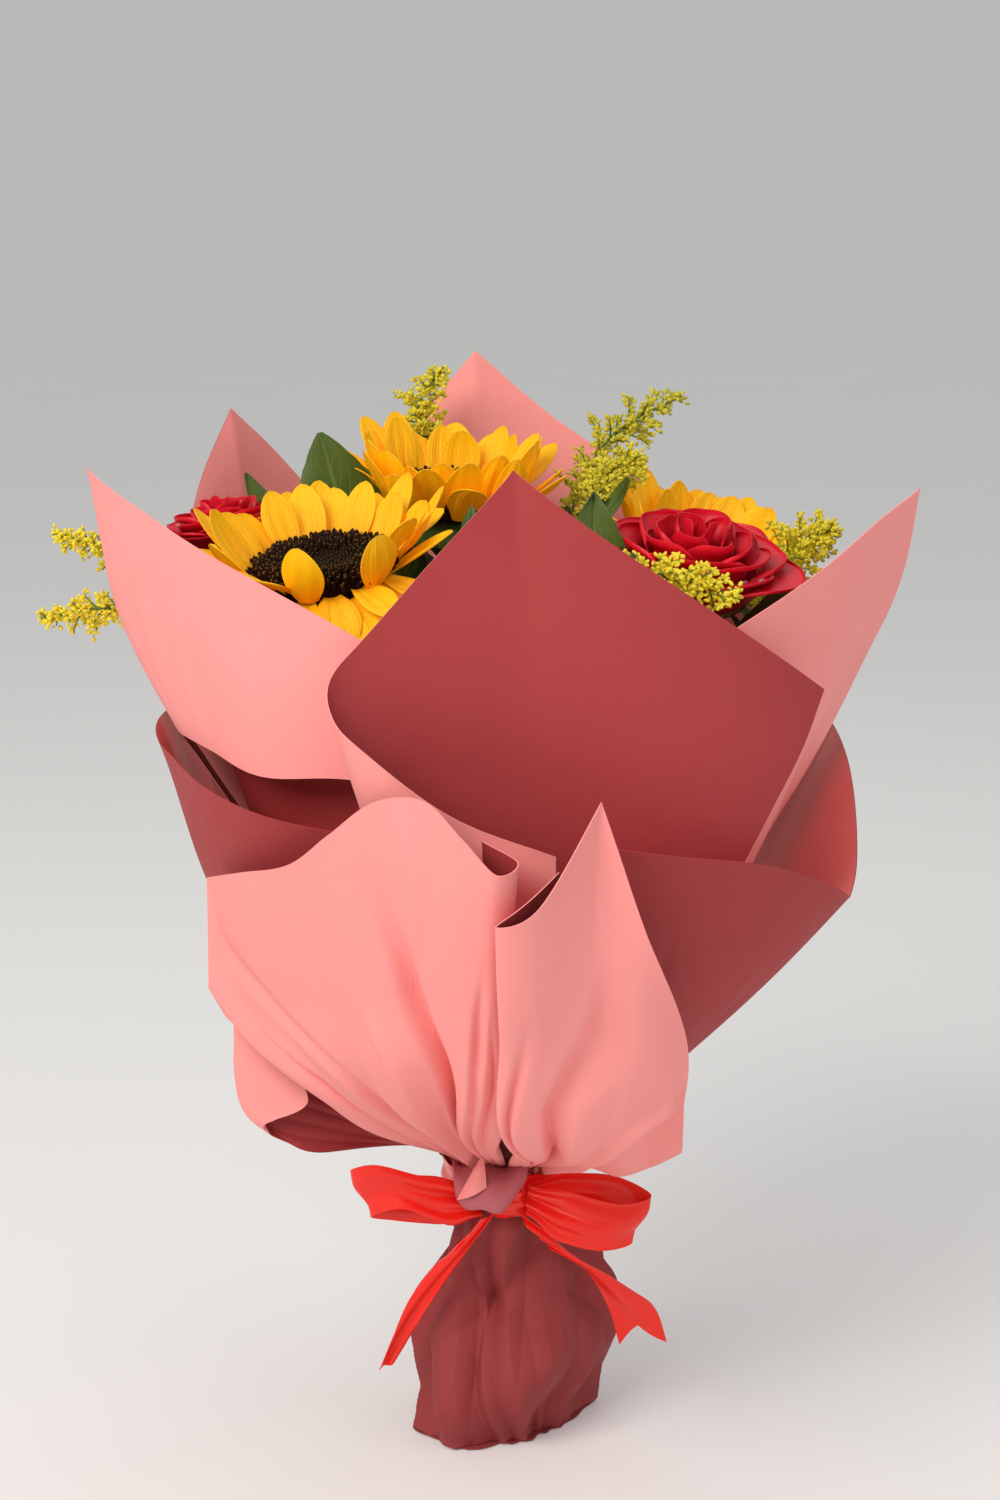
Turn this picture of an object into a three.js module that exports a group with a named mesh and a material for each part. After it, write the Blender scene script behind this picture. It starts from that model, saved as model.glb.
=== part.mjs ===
// A wrapped bunch of sunflowers, roses and goldenrod that stands on its gathered paper foot.
// Millimetres, +Z up, the front of the bunch towards -Y, origin at the middle of the foot's flat underside.
import * as THREE from "three";
import { mergeVertices } from "three/addons/utils/BufferGeometryUtils.js";

// Overall sizes
const SPREAD = 200; // how far a reach of 1 stands outside the neck
const NECK_HEIGHT = 145; // the level at which the sheets leave the neck
const HEAD_RISE = 365; // how far a rise of 1 stands above the neck level

// The neck, from the stems outwards
const SUNFLOWER_STEM = 4; // radii of the three kinds of stem
const ROSE_STEM = 2.5;
const GOLDENROD_STEM = 1.3;
const INNER_CIRCLE = 8; // radius on which the sunflower stems stand in the neck
const OUTER_CIRCLE = 16.5; // radius on which the rose and goldenrod stems stand
const GAP = 0.4; // between pieces that touch
const TIE_SLACK = 1;
const TIE_THICKNESS = 1.2;
const TIE_HEIGHT = 8;
const PAPER = 0.7;
const LAYER_STEP = 1.7; // from one sheet to the next at the neck
const LAYERS = 6;
const SHEET_TUCK = 0.04; // how far the sheets reach below the neck level, as a rise
const SHEET_OPENING = 0.005; // the rise at which they begin to open
const RIBBON = 0.8;
const RIBBON_WIDTH = 20;
const RIBBON_DROP = 21; // from the neck level down to the ribbon's middle
const KNOT = new THREE.Vector3(10, 5, 9); // half sizes of the bow's knot
const KNOT_SHIFT = -4; // the knot sits a little left of the middle

// The foot
const FOOT_RADIUS = 52;
const FOOT_PAPER = 1.2;
const FOOT_PLEATS = 16;
const FOOT_PLEAT_DEPTH = 1.2;
const FOOT_LIP = 1.5; // how far the bag's upper edge flares out above the ribbon
const FOOT_LIP_DROP = 4; // and how far it stays below the neck level
// The floor's outline as shares of the foot's radius, at even azimuths from the front round to the right
const FOOT_FLOOR = [0.96, 0.99, 0.8, 0.74, 1.02, 1.12, 0.98, 0.94, 0.93, 0.94, 1.0, 1.16];
const CUT_HEIGHT = 6; // the stems' cut ends above the floor
const CUT_SPREAD = 1.5; // how much wider the stems stand at their cut ends than at the neck

// The flowers
const PETAL = 1.4;
const DISC_RADIUS = 33;
const DISC_HEIGHT = 10;
const RAYS = 16;
const RECEPTACLE_RADIUS = 20;
const RECEPTACLE_HEIGHT = 12;
const RAY_RISE = 0.62; // how far the petals' tips stand above the disc's back, as a share of their length
const ROSE_TALL = 1.25; // a bloom's height as a share of its radius
const ROSE_SEAT = 0.55; // how far the bloom's base is below its middle, as a share of its height
const SEPAL_HEIGHT = 8;
const LEAF = 0.9;
const LEAF_ARCH = 6;
const PETIOLE = 0.4; // the share of a leaf's length that is its stalk
const PETIOLE_RADIUS = 0.8;

const TIE_RADIUS = OUTER_CIRCLE + ROSE_STEM + TIE_SLACK;
const SHEET_RADIUS = TIE_RADIUS + TIE_THICKNESS + PAPER / 2 + GAP;
const FOOT_NECK_RADIUS = SHEET_RADIUS + (LAYERS - 1) * LAYER_STEP + PAPER / 2 + GAP;
const RIBBON_RADIUS = FOOT_NECK_RADIUS + FOOT_PAPER + GAP;
const RIBBON_LEVEL = NECK_HEIGHT - RIBBON_DROP;

const PINK = 0xf2938e;
const DUSKY = 0x9c3a40;
const SATIN = 0xd0150f;
const STEM_GREEN = 0x4f7a2c;
const LEAF_GREEN = 0x3d6b22;
const SUN_YELLOW = 0xffb60a;
const DISC_BROWN = 0x3d2412;
const ROSE_RED = 0xb00824;
const GOLDEN = 0xc9b92a;
const TWINE = 0xb79a5c;

const bunch = new THREE.Group();

const piece = (name, geometry, color, roughness) => {
  const material = new THREE.MeshStandardMaterial({ color, roughness, metalness: 0 });
  const mesh = new THREE.Mesh(geometry, material);
  mesh.name = name;
  bunch.add(mesh);
  return mesh;
};

// Azimuth 0 is the front, and 90 is the right as seen from the front.
const around = (azimuth, radius, height) => {
  const angle = THREE.MathUtils.degToRad(azimuth);
  return new THREE.Vector3(radius * Math.sin(angle), -radius * Math.cos(angle), height);
};

const inHead = (ring, [azimuth, reach, rise]) =>
  around(azimuth, ring + reach * SPREAD, NECK_HEIGHT + rise * HEAD_RISE);

const closed = (geometry) => {
  geometry.deleteAttribute("normal");
  geometry.deleteAttribute("uv");
  const merged = mergeVertices(geometry, 1e-3);
  merged.computeVertexNormals();
  return merged;
};

// A smooth curve through points that stand evenly in t. It turns sharply at the corner points.
const through = (points, t, corners = []) => {
  const last = points.length - 1;
  const at = Math.min(Math.floor(t * last), last - 1);
  const f = t * last - at;
  const chord = points[at + 1].clone().sub(points[at]);
  const slope = (i) => {
    if (i === 0 || i === last || corners.includes(i)) return chord;
    return points[i + 1].clone().sub(points[i - 1]).multiplyScalar(0.5);
  };
  return points[at]
    .clone()
    .multiplyScalar(2 * f ** 3 - 3 * f ** 2 + 1)
    .addScaledVector(slope(at), f ** 3 - 2 * f ** 2 + f)
    .addScaledVector(points[at + 1], 3 * f ** 2 - 2 * f ** 3)
    .addScaledVector(slope(at + 1), f ** 3 - f ** 2);
};

// A thin closed solid over a surface: surface(u, v) is its middle, with half of the thickness on each side.
const shell = (surface, thickness, across, along) => {
  const box = new THREE.BoxGeometry(1, 1, 1, across, along, 1);
  const place = box.getAttribute("position");
  const step = 1e-3;
  for (let i = 0; i < place.count; i += 1) {
    const u = place.getX(i) + 0.5;
    const v = place.getY(i) + 0.5;
    const before = (w) => Math.max(w - step, 0);
    const after = (w) => Math.min(w + step, 1);
    const alongU = surface(after(u), v).sub(surface(before(u), v));
    const alongV = surface(u, after(v)).sub(surface(u, before(v)));
    const normal = alongU.cross(alongV).normalize();
    const point = surface(u, v).addScaledVector(normal, place.getZ(i) * thickness);
    place.setXYZ(i, point.x, point.y, point.z);
  }
  // The back's quads split along the same diagonals as the front's, so the two stay parallel in a twist.
  const split = box.getIndex();
  const back = box.groups[5];
  for (let i = back.start; i < back.start + back.count; i += 6) {
    const [a, b, d, , c] = split.array.slice(i, i + 6);
    split.array.set([a, b, c, a, c, d], i);
  }
  return closed(box);
};

// A round stalk along a curve, whose radius changes along it.
const stalk = (curve, radiusAt, sides, steps) => {
  const tube = new THREE.CylinderGeometry(1, 1, 1, sides, steps);
  const place = tube.getAttribute("position");
  const { normals, binormals } = curve.computeFrenetFrames(steps, false);
  for (let i = 0; i < place.count; i += 1) {
    const step = Math.round((place.getY(i) + 0.5) * steps);
    const radius = radiusAt(step / steps);
    const point = curve
      .getPointAt(step / steps)
      .addScaledVector(normals[step], place.getX(i) * radius)
      .addScaledVector(binormals[step], -place.getZ(i) * radius);
    place.setXYZ(i, point.x, point.y, point.z);
  }
  return closed(tube);
};

// A solid of revolution about +Z through [radius, height] points, with the radius varied by the azimuth.
const turned = (profile, segments, vary = () => 1) => {
  const points = profile.map(([radius, height]) => new THREE.Vector2(radius, height));
  const lathe = new THREE.LatheGeometry(points, segments);
  lathe.rotateX(Math.PI / 2);
  const place = lathe.getAttribute("position");
  for (let i = 0; i < place.count; i += 1) {
    const [x, y, z] = [place.getX(i), place.getY(i), place.getZ(i)];
    const share = vary(Math.atan2(y, x), Math.hypot(x, y), z);
    place.setXYZ(i, x * share, y * share, z);
  }
  return closed(lathe);
};

// ---- The wrapping paper ----
// A point of a net is [azimuth, reach, rise]. The rows run from low to high, and the columns from left to
// right as seen from outside, except that the front sheet starts at its right edge and turns back in a roll.
// Where a neck is given, it holds the azimuths between which the sheet is tied in, or one for each column.
// The left sheet has none: it rises from the neck as a strip that turns to the front, and bends where it
// leaves the neck. Corners are the columns where the top row turns sharply.
const SHEETS = [
  {
    name: "back_sheet",
    color: PINK,
    layer: 0,
    neck: [116, 230],
    corners: [3],
    rows: [
      [
        [114, 0.42, 0.26], [139, 0.44, 0.32], [165, 0.43, 0.36], [187, 0.42, 0.38], [203, 0.42, 0.36],
        [219, 0.41, 0.32], [231, 0.38, 0.27],
      ],
      [
        [112, 0.74, 0.6], [140, 0.74, 0.76], [169, 0.67, 0.9], [187, 0.64, 1.01], [198, 0.65, 0.92],
        [216, 0.65, 0.79], [230, 0.6, 0.62],
      ],
    ],
  },
  {
    name: "back_left_sheet",
    color: PINK,
    layer: 1,
    neck: [-168, -127],
    corners: [3],
    rows: [
      [
        [-166, 0.49, 0.26], [-156, 0.52, 0.33], [-143, 0.55, 0.38], [-130, 0.58, 0.4],
        [-122, 0.58, 0.37], [-116, 0.56, 0.28],
      ],
      [
        [-165, 0.74, 0.6], [-152, 0.75, 0.74], [-137, 0.75, 0.87], [-126, 0.75, 0.94],
        [-118, 0.77, 0.82], [-112, 0.79, 0.62],
      ],
    ],
  },
  {
    name: "left_sheet",
    color: PINK,
    layer: 2,
    bends: [1],
    corners: [1, 4],
    rows: [
      [
        [-112, 0, -SHEET_TUCK], [-112, 0, SHEET_OPENING], [-103, 0.4, 0.3], [-94, 0.645, 0.52],
        [-84, 0.65, 0.55], [-68, 0.61, 0.55], [-50, 0.6, 0.54], [-32, 0.56, 0.55], [-15, 0.49, 0.53],
      ],
      [
        [-118, 0, -SHEET_TUCK], [-118, 0, SHEET_OPENING], [-108, 0.43, 0.31], [-99, 0.73, 0.58],
        [-88, 0.8, 0.72], [-70, 0.68, 0.7], [-50, 0.64, 0.67], [-32, 0.58, 0.65], [-15, 0.5, 0.6],
      ],
      [
        [-124, 0, -SHEET_TUCK], [-124, 0, SHEET_OPENING], [-113, 0.46, 0.31], [-104, 0.8, 0.62],
        [-88, 0.865, 0.89], [-71, 0.72, 0.84], [-50, 0.64, 0.79], [-31, 0.57, 0.73], [-15, 0.5, 0.66],
      ],
    ],
  },
  {
    name: "inner_left_sheet",
    color: DUSKY,
    layer: 0,
    neck: [-104, -34],
    corners: [],
    rows: [
      [[-95, 0.37, 0.27], [-79, 0.37, 0.28], [-62, 0.38, 0.3], [-46, 0.38, 0.3], [-30, 0.37, 0.28]],
      [[-99, 0.63, 0.56], [-80, 0.575, 0.58], [-62, 0.53, 0.6], [-45, 0.5, 0.6], [-28, 0.46, 0.58]],
    ],
  },
  {
    name: "front_sheet",
    color: DUSKY,
    layer: 1,
    neck: [46, 32, 14, -4, -18, -25, -22, -14, -4, 4],
    neckReach: [0, 0, 0, 0, 0, 0.006, 0.012, 0.012, 0.012, 0.012],
    corners: [2],
    rows: [
      [
        [41, 0.5, 0.32], [28, 0.46, 0.32], [10, 0.42, 0.32], [-6, 0.43, 0.32], [-16, 0.47, 0.32],
        [-20, 0.54, 0.32], [-17, 0.58, 0.31], [-12, 0.6, 0.3], [-3, 0.6, 0.29], [5, 0.59, 0.28],
      ],
      [
        [51, 0.655, 0.53], [31, 0.58, 0.55], [6, 0.51, 0.58], [-10, 0.53, 0.58], [-20, 0.58, 0.57],
        [-25, 0.665, 0.555], [-22, 0.715, 0.53], [-16, 0.75, 0.51], [-5, 0.755, 0.46], [6, 0.72, 0.42],
      ],
      [
        [61, 0.68, 0.64], [34, 0.57, 0.77], [0, 0.45, 0.92], [-15, 0.53, 0.82], [-25.5, 0.62, 0.73],
        [-28.5, 0.7, 0.685], [-26, 0.75, 0.645], [-20, 0.78, 0.61], [-8, 0.78, 0.54], [6, 0.74, 0.49],
      ],
    ],
  },
  {
    name: "right_sheet",
    color: PINK,
    layer: 1,
    neck: [50, 114],
    corners: [4],
    rows: [
      [
        [44, 0.36, 0.3], [54, 0.37, 0.3], [66, 0.37, 0.3], [78, 0.37, 0.3], [90, 0.37, 0.3],
        [101, 0.38, 0.29], [112, 0.39, 0.28],
      ],
      [
        [40, 0.47, 0.52], [49, 0.5, 0.54], [63, 0.54, 0.55], [77, 0.59, 0.56], [89, 0.62, 0.57],
        [99, 0.62, 0.5], [108, 0.6, 0.43],
      ],
      [
        [38, 0.5, 0.68], [46, 0.56, 0.72], [64, 0.64, 0.78], [77, 0.73, 0.83], [87, 0.83, 0.865],
        [97, 0.81, 0.72], [106, 0.74, 0.58],
      ],
    ],
  },
  {
    name: "lower_right_sheet",
    color: DUSKY,
    layer: 3,
    neck: [12, 128],
    corners: [3],
    rows: [
      [
        [11, 0.44, 0.2], [24, 0.44, 0.2], [44, 0.43, 0.2], [70, 0.42, 0.2], [90, 0.42, 0.21],
        [110, 0.44, 0.23], [130, 0.46, 0.23],
      ],
      [
        [10, 0.69, 0.5], [24, 0.7, 0.48], [43, 0.695, 0.445], [73, 0.68, 0.36], [90, 0.69, 0.41],
        [106, 0.72, 0.49], [130, 0.8, 0.56],
      ],
    ],
  },
  {
    name: "lower_left_sheet",
    color: DUSKY,
    layer: 3,
    neck: [-132, -30],
    corners: [],
    rows: [
      [
        [-128, 0.56, 0.24], [-110, 0.54, 0.24], [-92, 0.5, 0.25], [-76, 0.48, 0.25], [-62, 0.46, 0.25],
        [-46, 0.44, 0.25], [-30, 0.43, 0.25],
      ],
      [
        [-122, 0.82, 0.54], [-106, 0.76, 0.54], [-91, 0.71, 0.535], [-76, 0.67, 0.53],
        [-61, 0.655, 0.515], [-45, 0.645, 0.5], [-29, 0.6, 0.49],
      ],
    ],
  },
  {
    name: "collar_left",
    color: PINK,
    layer: 4,
    neck: [-54, -5],
    corners: [1, 2],
    rows: [
      [
        [-47, 0.33, 0.065], [-44, 0.4, 0.11], [-47, 0.45, 0.15], [-40, 0.46, 0.15], [-33, 0.48, 0.16],
        [-26, 0.5, 0.16], [-18, 0.52, 0.17], [-11, 0.54, 0.17], [-7, 0.55, 0.16], [-4, 0.545, 0.16],
        [-3, 0.52, 0.16], [-6, 0.495, 0.16],
      ],
      [
        [-55, 0.49, 0.15], [-57, 0.56, 0.185], [-59, 0.59, 0.27], [-48, 0.595, 0.28], [-36, 0.61, 0.29],
        [-26, 0.66, 0.3], [-18, 0.7, 0.32], [-11, 0.74, 0.33], [-6, 0.755, 0.32], [-3, 0.755, 0.31],
        [-1, 0.725, 0.31], [-4, 0.69, 0.32],
      ],
      [
        [-64.8, 0.59, 0.21], [-65, 0.63, 0.25], [-64.5, 0.63, 0.395], [-48, 0.66, 0.43],
        [-35, 0.7, 0.46], [-26, 0.75, 0.51], [-18, 0.8, 0.56], [-11, 0.84, 0.57], [-6, 0.865, 0.53],
        [-2, 0.87, 0.49], [0.5, 0.835, 0.5], [-4, 0.8, 0.52],
      ],
    ],
  },
  {
    name: "collar_right",
    color: PINK,
    layer: 5,
    neck: [-3, 46],
    corners: [4, 7],
    rows: [
      [
        [6, 0.52, 0.14], [1, 0.53, 0.13], [-1, 0.565, 0.125], [4, 0.58, 0.125], [10, 0.575, 0.12],
        [17, 0.53, 0.1], [22, 0.46, 0.085], [25, 0.38, 0.06], [31, 0.31, 0.015],
      ],
      [
        [7, 0.74, 0.32], [1, 0.755, 0.3], [-1.5, 0.79, 0.29], [3, 0.795, 0.3], [10.5, 0.755, 0.33],
        [18, 0.71, 0.25], [26, 0.61, 0.165], [29, 0.5, 0.115], [33, 0.43, 0.045],
      ],
      [
        [8, 0.83, 0.49], [1, 0.86, 0.455], [-2, 0.9, 0.435], [3, 0.895, 0.455], [11, 0.8, 0.565],
        [17.5, 0.79, 0.4], [27, 0.68, 0.25], [32, 0.566, 0.148], [36, 0.5, 0.072],
      ],
    ],
  },
  {
    name: "under_collar",
    color: DUSKY,
    layer: 5,
    neck: [-92, -57],
    corners: [],
    rows: [
      [[-64, 0.34, 0.012], [-64, 0.345, 0.041], [-65, 0.35, 0.074], [-67, 0.416, 0.121]],
      [[-62.5, 0.46, 0.045], [-66, 0.523, 0.077], [-66.5, 0.55, 0.123], [-67, 0.551, 0.195]],
      [[-62.9, 0.505, 0.063], [-60, 0.485, 0.074], [-56, 0.42, 0.1], [-61, 0.445, 0.15]],
    ],
  },
];

// The two rows at the neck: tucked under the ribbon, and just where the sheet begins to open.
const neckRows = ({ neck, neckReach = [], rows: [lowest] }) => {
  const even = (i) => THREE.MathUtils.lerp(neck[0], neck[1], i / (lowest.length - 1));
  const azimuth = (i) => (neck.length > 2 ? neck[i] : even(i));
  const row = (reach, rise) => lowest.map((point, i) => [azimuth(i), reach + (neckReach[i] ?? 0), rise]);
  return [row(0, -SHEET_TUCK), row(0, SHEET_OPENING)];
};

const paperSheet = (sheet) => {
  const ring = SHEET_RADIUS + sheet.layer * LAYER_STEP;
  const rows = sheet.neck ? [...neckRows(sheet), ...sheet.rows] : sheet.rows;
  const net = rows.map((row) => row.map((point) => new THREE.Vector3(...point)));
  const top = net.length - 1;
  const surface = (u, v) => {
    const column = net.map((row, i) => through(row, u, i === top ? sheet.corners : sheet.bends));
    return inHead(ring, through(column, v, sheet.neck ? [1] : []).toArray());
  };
  const across = (rows[0].length - 1) * 2;
  const along = (rows.length - 1) * (sheet.neck ? 2 : 3);
  return piece(sheet.name, shell(surface, PAPER, across, along), sheet.color, 0.85);
};

SHEETS.forEach(paperSheet);

// ---- The foot: a paper bag gathered under the ribbon, with a flat floor ----
// The bag is round where it bulges, and its floor is a loose square.
const floorShare = (azimuth) => {
  const turn = THREE.MathUtils.euclideanModulo(azimuth / 360, 1) * FOOT_FLOOR.length;
  const before = Math.floor(turn);
  const at = (i) => FOOT_FLOOR[i % FOOT_FLOOR.length];
  return THREE.MathUtils.lerp(at(before), at(before + 1), THREE.MathUtils.smoothstep(turn - before, 0, 1));
};

const footWrap = () => {
  const outer = [
    [0, 0],
    [FOOT_RADIUS - 1, 0],
    [FOOT_RADIUS, 2],
    [FOOT_RADIUS + 1, 0.2 * RIBBON_LEVEL],
    [FOOT_RADIUS, 0.4 * RIBBON_LEVEL],
    [0.9 * FOOT_RADIUS, 0.65 * RIBBON_LEVEL],
    [FOOT_NECK_RADIUS + FOOT_PAPER, RIBBON_LEVEL - RIBBON_WIDTH / 2],
    [FOOT_NECK_RADIUS + FOOT_PAPER, RIBBON_LEVEL + RIBBON_WIDTH / 2],
    [FOOT_NECK_RADIUS + FOOT_PAPER + FOOT_LIP, NECK_HEIGHT - FOOT_LIP_DROP],
  ];
  const inner = outer
    .slice(2)
    .map(([radius, height]) => [radius - FOOT_PAPER, height])
    .reverse();
  const edge = [FOOT_RADIUS - 1 - FOOT_PAPER, FOOT_PAPER];
  const centre = [0, FOOT_PAPER];
  const outline = (angle, radius, height) => {
    const loose = THREE.MathUtils.clamp((radius - FOOT_NECK_RADIUS - FOOT_PAPER) / 8, 0, 1);
    const low = 1 - THREE.MathUtils.smoothstep(height, 2, 0.3 * RIBBON_LEVEL);
    const base = THREE.MathUtils.lerp(1, floorShare(THREE.MathUtils.radToDeg(angle) + 90), low);
    return base + (loose * FOOT_PLEAT_DEPTH * Math.cos(FOOT_PLEATS * angle)) / FOOT_RADIUS;
  };
  return turned([...outer, ...inner.slice(0, -1), edge, centre], 2 * FOOT_PLEATS, outline);
};

piece("foot_wrap", footWrap(), DUSKY, 0.85);

// ---- The ribbon ----
const ribbonWrap = turned(
  [
    [RIBBON_RADIUS, RIBBON_LEVEL - RIBBON_WIDTH / 2],
    [RIBBON_RADIUS + RIBBON, RIBBON_LEVEL - RIBBON_WIDTH / 2],
    [RIBBON_RADIUS + RIBBON, RIBBON_LEVEL + RIBBON_WIDTH / 2],
    [RIBBON_RADIUS, RIBBON_LEVEL + RIBBON_WIDTH / 2],
    [RIBBON_RADIUS, RIBBON_LEVEL - RIBBON_WIDTH / 2],
  ],
  32,
);
piece("ribbon_wrap", ribbonWrap, SATIN, 0.35);

// A strip of ribbon along a row of [x, y, z, lean] points, where y counts out from the front of the wrapped
// neck and the strip's width leans from upright towards +X by the lean in degrees.
const strip = (stations, width, twoEdges = [1, 1]) => {
  const face = -(RIBBON_RADIUS + RIBBON);
  const centre = stations.map(([x, y, z]) => new THREE.Vector3(x, face - y, RIBBON_LEVEL + z));
  const across = stations.map(([, , , lean]) => {
    const angle = THREE.MathUtils.degToRad(lean);
    return new THREE.Vector3(Math.sin(angle), 0, Math.cos(angle));
  });
  const surface = (u, v) => {
    const side = through(across, u).normalize();
    const share = THREE.MathUtils.lerp(twoEdges[0], twoEdges[1], u);
    return through(centre, u).addScaledVector(side, (v - 0.5) * width * share);
  };
  return shell(surface, RIBBON, (stations.length - 1) * 2, 1);
};

const knot = new THREE.SphereGeometry(1, 10, 6);
knot.scale(...KNOT);
knot.translate(KNOT_SHIFT, -(RIBBON_RADIUS + RIBBON + GAP + 0.2 + KNOT.y), RIBBON_LEVEL);
piece("ribbon_knot", closed(knot), SATIN, 0.35);

const LOOPS = {
  ribbon_loop_left: [
    [-15.5, 4, -2, -6], [-36, 11, 2, -20], [-58, 14, 10, -30], [-72, 8, 4, -24], [-60, 2.2, 1, -16],
    [-38, 1.5, -1, -8], [-16, 1.5, -2, 0],
  ],
  ribbon_loop_right: [
    [7.5, 1.5, 0, 0], [26, 1.5, 0, 12], [46, 3, -1, 18], [62, 9, -8, 22], [48, 14, -11, 22],
    [27, 11, -7, 14], [7.5, 4.5, 0, 4],
  ],
};
Object.entries(LOOPS).forEach(([name, stations]) => piece(name, strip(stations, RIBBON_WIDTH), SATIN, 0.35));

const TAILS = {
  ribbon_tail_left: [
    [-15.5, 7.5, -12, 46], [-28, 10, -26, 60], [-42, 10, -46, 66], [-52, 6, -66, 62], [-60, 0, -86, 60],
  ],
  ribbon_tail_right: [
    [10, 7.5, -14, -40], [28, 9, -26, -46], [46, 6, -40, -64], [58, -2, -58, -84], [64, -8, -78, -92],
  ],
};
piece("ribbon_tail_left", strip(TAILS.ribbon_tail_left, RIBBON_WIDTH, [0.8, 0.35]), SATIN, 0.35);
piece("ribbon_tail_right", strip(TAILS.ribbon_tail_right, RIBBON_WIDTH, [0.8, 1]), SATIN, 0.35);

// ---- The stems' tie, hidden in the neck ----
const stemTie = turned(
  [
    [TIE_RADIUS, NECK_HEIGHT],
    [TIE_RADIUS + TIE_THICKNESS, NECK_HEIGHT],
    [TIE_RADIUS + TIE_THICKNESS, NECK_HEIGHT + TIE_HEIGHT],
    [TIE_RADIUS, NECK_HEIGHT + TIE_HEIGHT],
    [TIE_RADIUS, NECK_HEIGHT],
  ],
  24,
);
stemTie.translate(0, 0, -2 * TIE_HEIGHT);
piece("stem_tie", stemTie, TWINE, 0.9);

// ---- Flowers ----
// A flower's head stands at [azimuth, reach, rise] and faces a direction leaned from upright, towards an
// azimuth.
const headFrame = ({ at, lean, towards }) => {
  const centre = inHead(SHEET_RADIUS, at);
  const tilt = THREE.MathUtils.degToRad(lean);
  const facing = around(towards, Math.sin(tilt), Math.cos(tilt));
  return { centre, facing };
};

const faced = (geometry, { centre, facing }, along) => {
  geometry.applyQuaternion(new THREE.Quaternion().setFromUnitVectors(new THREE.Vector3(0, 0, 1), facing));
  const place = centre.clone().addScaledVector(facing, along);
  return geometry.translate(place.x, place.y, place.z);
};

// A stem rises from its cut end through its place in the neck to the back of its head.
const stemCurve = (circle, slot, end, facing, bend) =>
  new THREE.CatmullRomCurve3([
    around(slot, circle * CUT_SPREAD, CUT_HEIGHT),
    around(slot, circle, NECK_HEIGHT - 2 * TIE_HEIGHT),
    around(slot, circle + 1, NECK_HEIGHT + TIE_HEIGHT),
    end.clone().addScaledVector(facing, -bend),
    end,
  ]);

// A sunflower's rim is the reach of its petals' outer tips, so that a wider head stands further in. The one
// behind has the reach of its inner tips instead, as its hub, so that it makes way for the front one.
const SUNFLOWERS = [
  { azimuth: -66, rim: 0.66, rise: 0.76, lean: 14, towards: -30, slot: -54, petals: 27 },
  { azimuth: -152, hub: -0.055, rise: 0.82, lean: 8, towards: 20, slot: -154, petals: 20 },
  { azimuth: 128, rim: 0.735, rise: 0.74, lean: 16, towards: 60, slot: 120, petals: 20 },
];

SUNFLOWERS.forEach(({ azimuth, rim, hub, rise, slot, petals, ...pose }, i) => {
  const name = `sunflower_${i + 1}`;
  const headReach = (DISC_RADIUS + petals) / SPREAD;
  const reach = hub === undefined ? rim - headReach : hub + headReach;
  const frame = headFrame({ at: [azimuth, reach, rise], ...pose });
  const disc = turned(
    [
      [0, 0],
      [DISC_RADIUS - 3, 0],
      [DISC_RADIUS, 3],
      [DISC_RADIUS - 5, DISC_HEIGHT],
      [DISC_RADIUS - 18, DISC_HEIGHT - 1],
      [0, DISC_HEIGHT - 3],
    ],
    20,
  );
  piece(`${name}_disc`, faced(disc, frame, 0), DISC_BROWN, 0.95);

  const tip = DISC_RADIUS + petals;
  const cup = RAY_RISE * petals;
  const notch = (angle, radius) => (radius > DISC_RADIUS + 4 ? 0.93 + 0.07 * Math.cos(RAYS * angle) : 1);
  const ring = turned(
    [
      [RECEPTACLE_RADIUS + 2, -PETAL],
      [DISC_RADIUS + 2, -PETAL],
      [DISC_RADIUS + 0.5 * petals, 0.4 * cup - PETAL],
      [tip, cup - PETAL],
      [tip, cup],
      [DISC_RADIUS + 0.5 * petals, 0.4 * cup],
      [DISC_RADIUS + 2, 0],
      [RECEPTACLE_RADIUS + 2, 0],
      [RECEPTACLE_RADIUS + 2, -PETAL],
    ],
    2 * RAYS,
    notch,
  );
  piece(`${name}_petals`, faced(ring, frame, -GAP), SUN_YELLOW, 0.6);

  const end = frame.centre.clone().addScaledVector(frame.facing, -GAP);
  const curve = stemCurve(INNER_CIRCLE, slot, end, frame.facing, RECEPTACLE_HEIGHT);
  const head = RECEPTACLE_HEIGHT / curve.getLength();
  const swell = (t) => {
    const share = THREE.MathUtils.smoothstep(t, 1 - 2.2 * head, 1 - 0.4 * head);
    return THREE.MathUtils.lerp(SUNFLOWER_STEM, RECEPTACLE_RADIUS, share);
  };
  piece(`${name}_stem`, stalk(curve, swell, 7, 18), STEM_GREEN, 0.8);
});

const ROSES = [
  { at: [70, 0.35, 0.75], lean: 16, towards: 20, slot: 52, radius: 37 },
  { at: [-104, 0.6, 0.8], lean: 12, towards: -90, slot: -92, radius: 29 },
  { at: [2, 0.24, 0.72], lean: 8, towards: 0, slot: 0, radius: 28 },
  { at: [98, 0.07, 0.73], lean: 4, towards: 90, slot: 92, radius: 25 },
  { at: [-136, 0.5, 0.72], lean: 10, towards: -130, slot: -126, radius: 25 },
];

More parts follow.
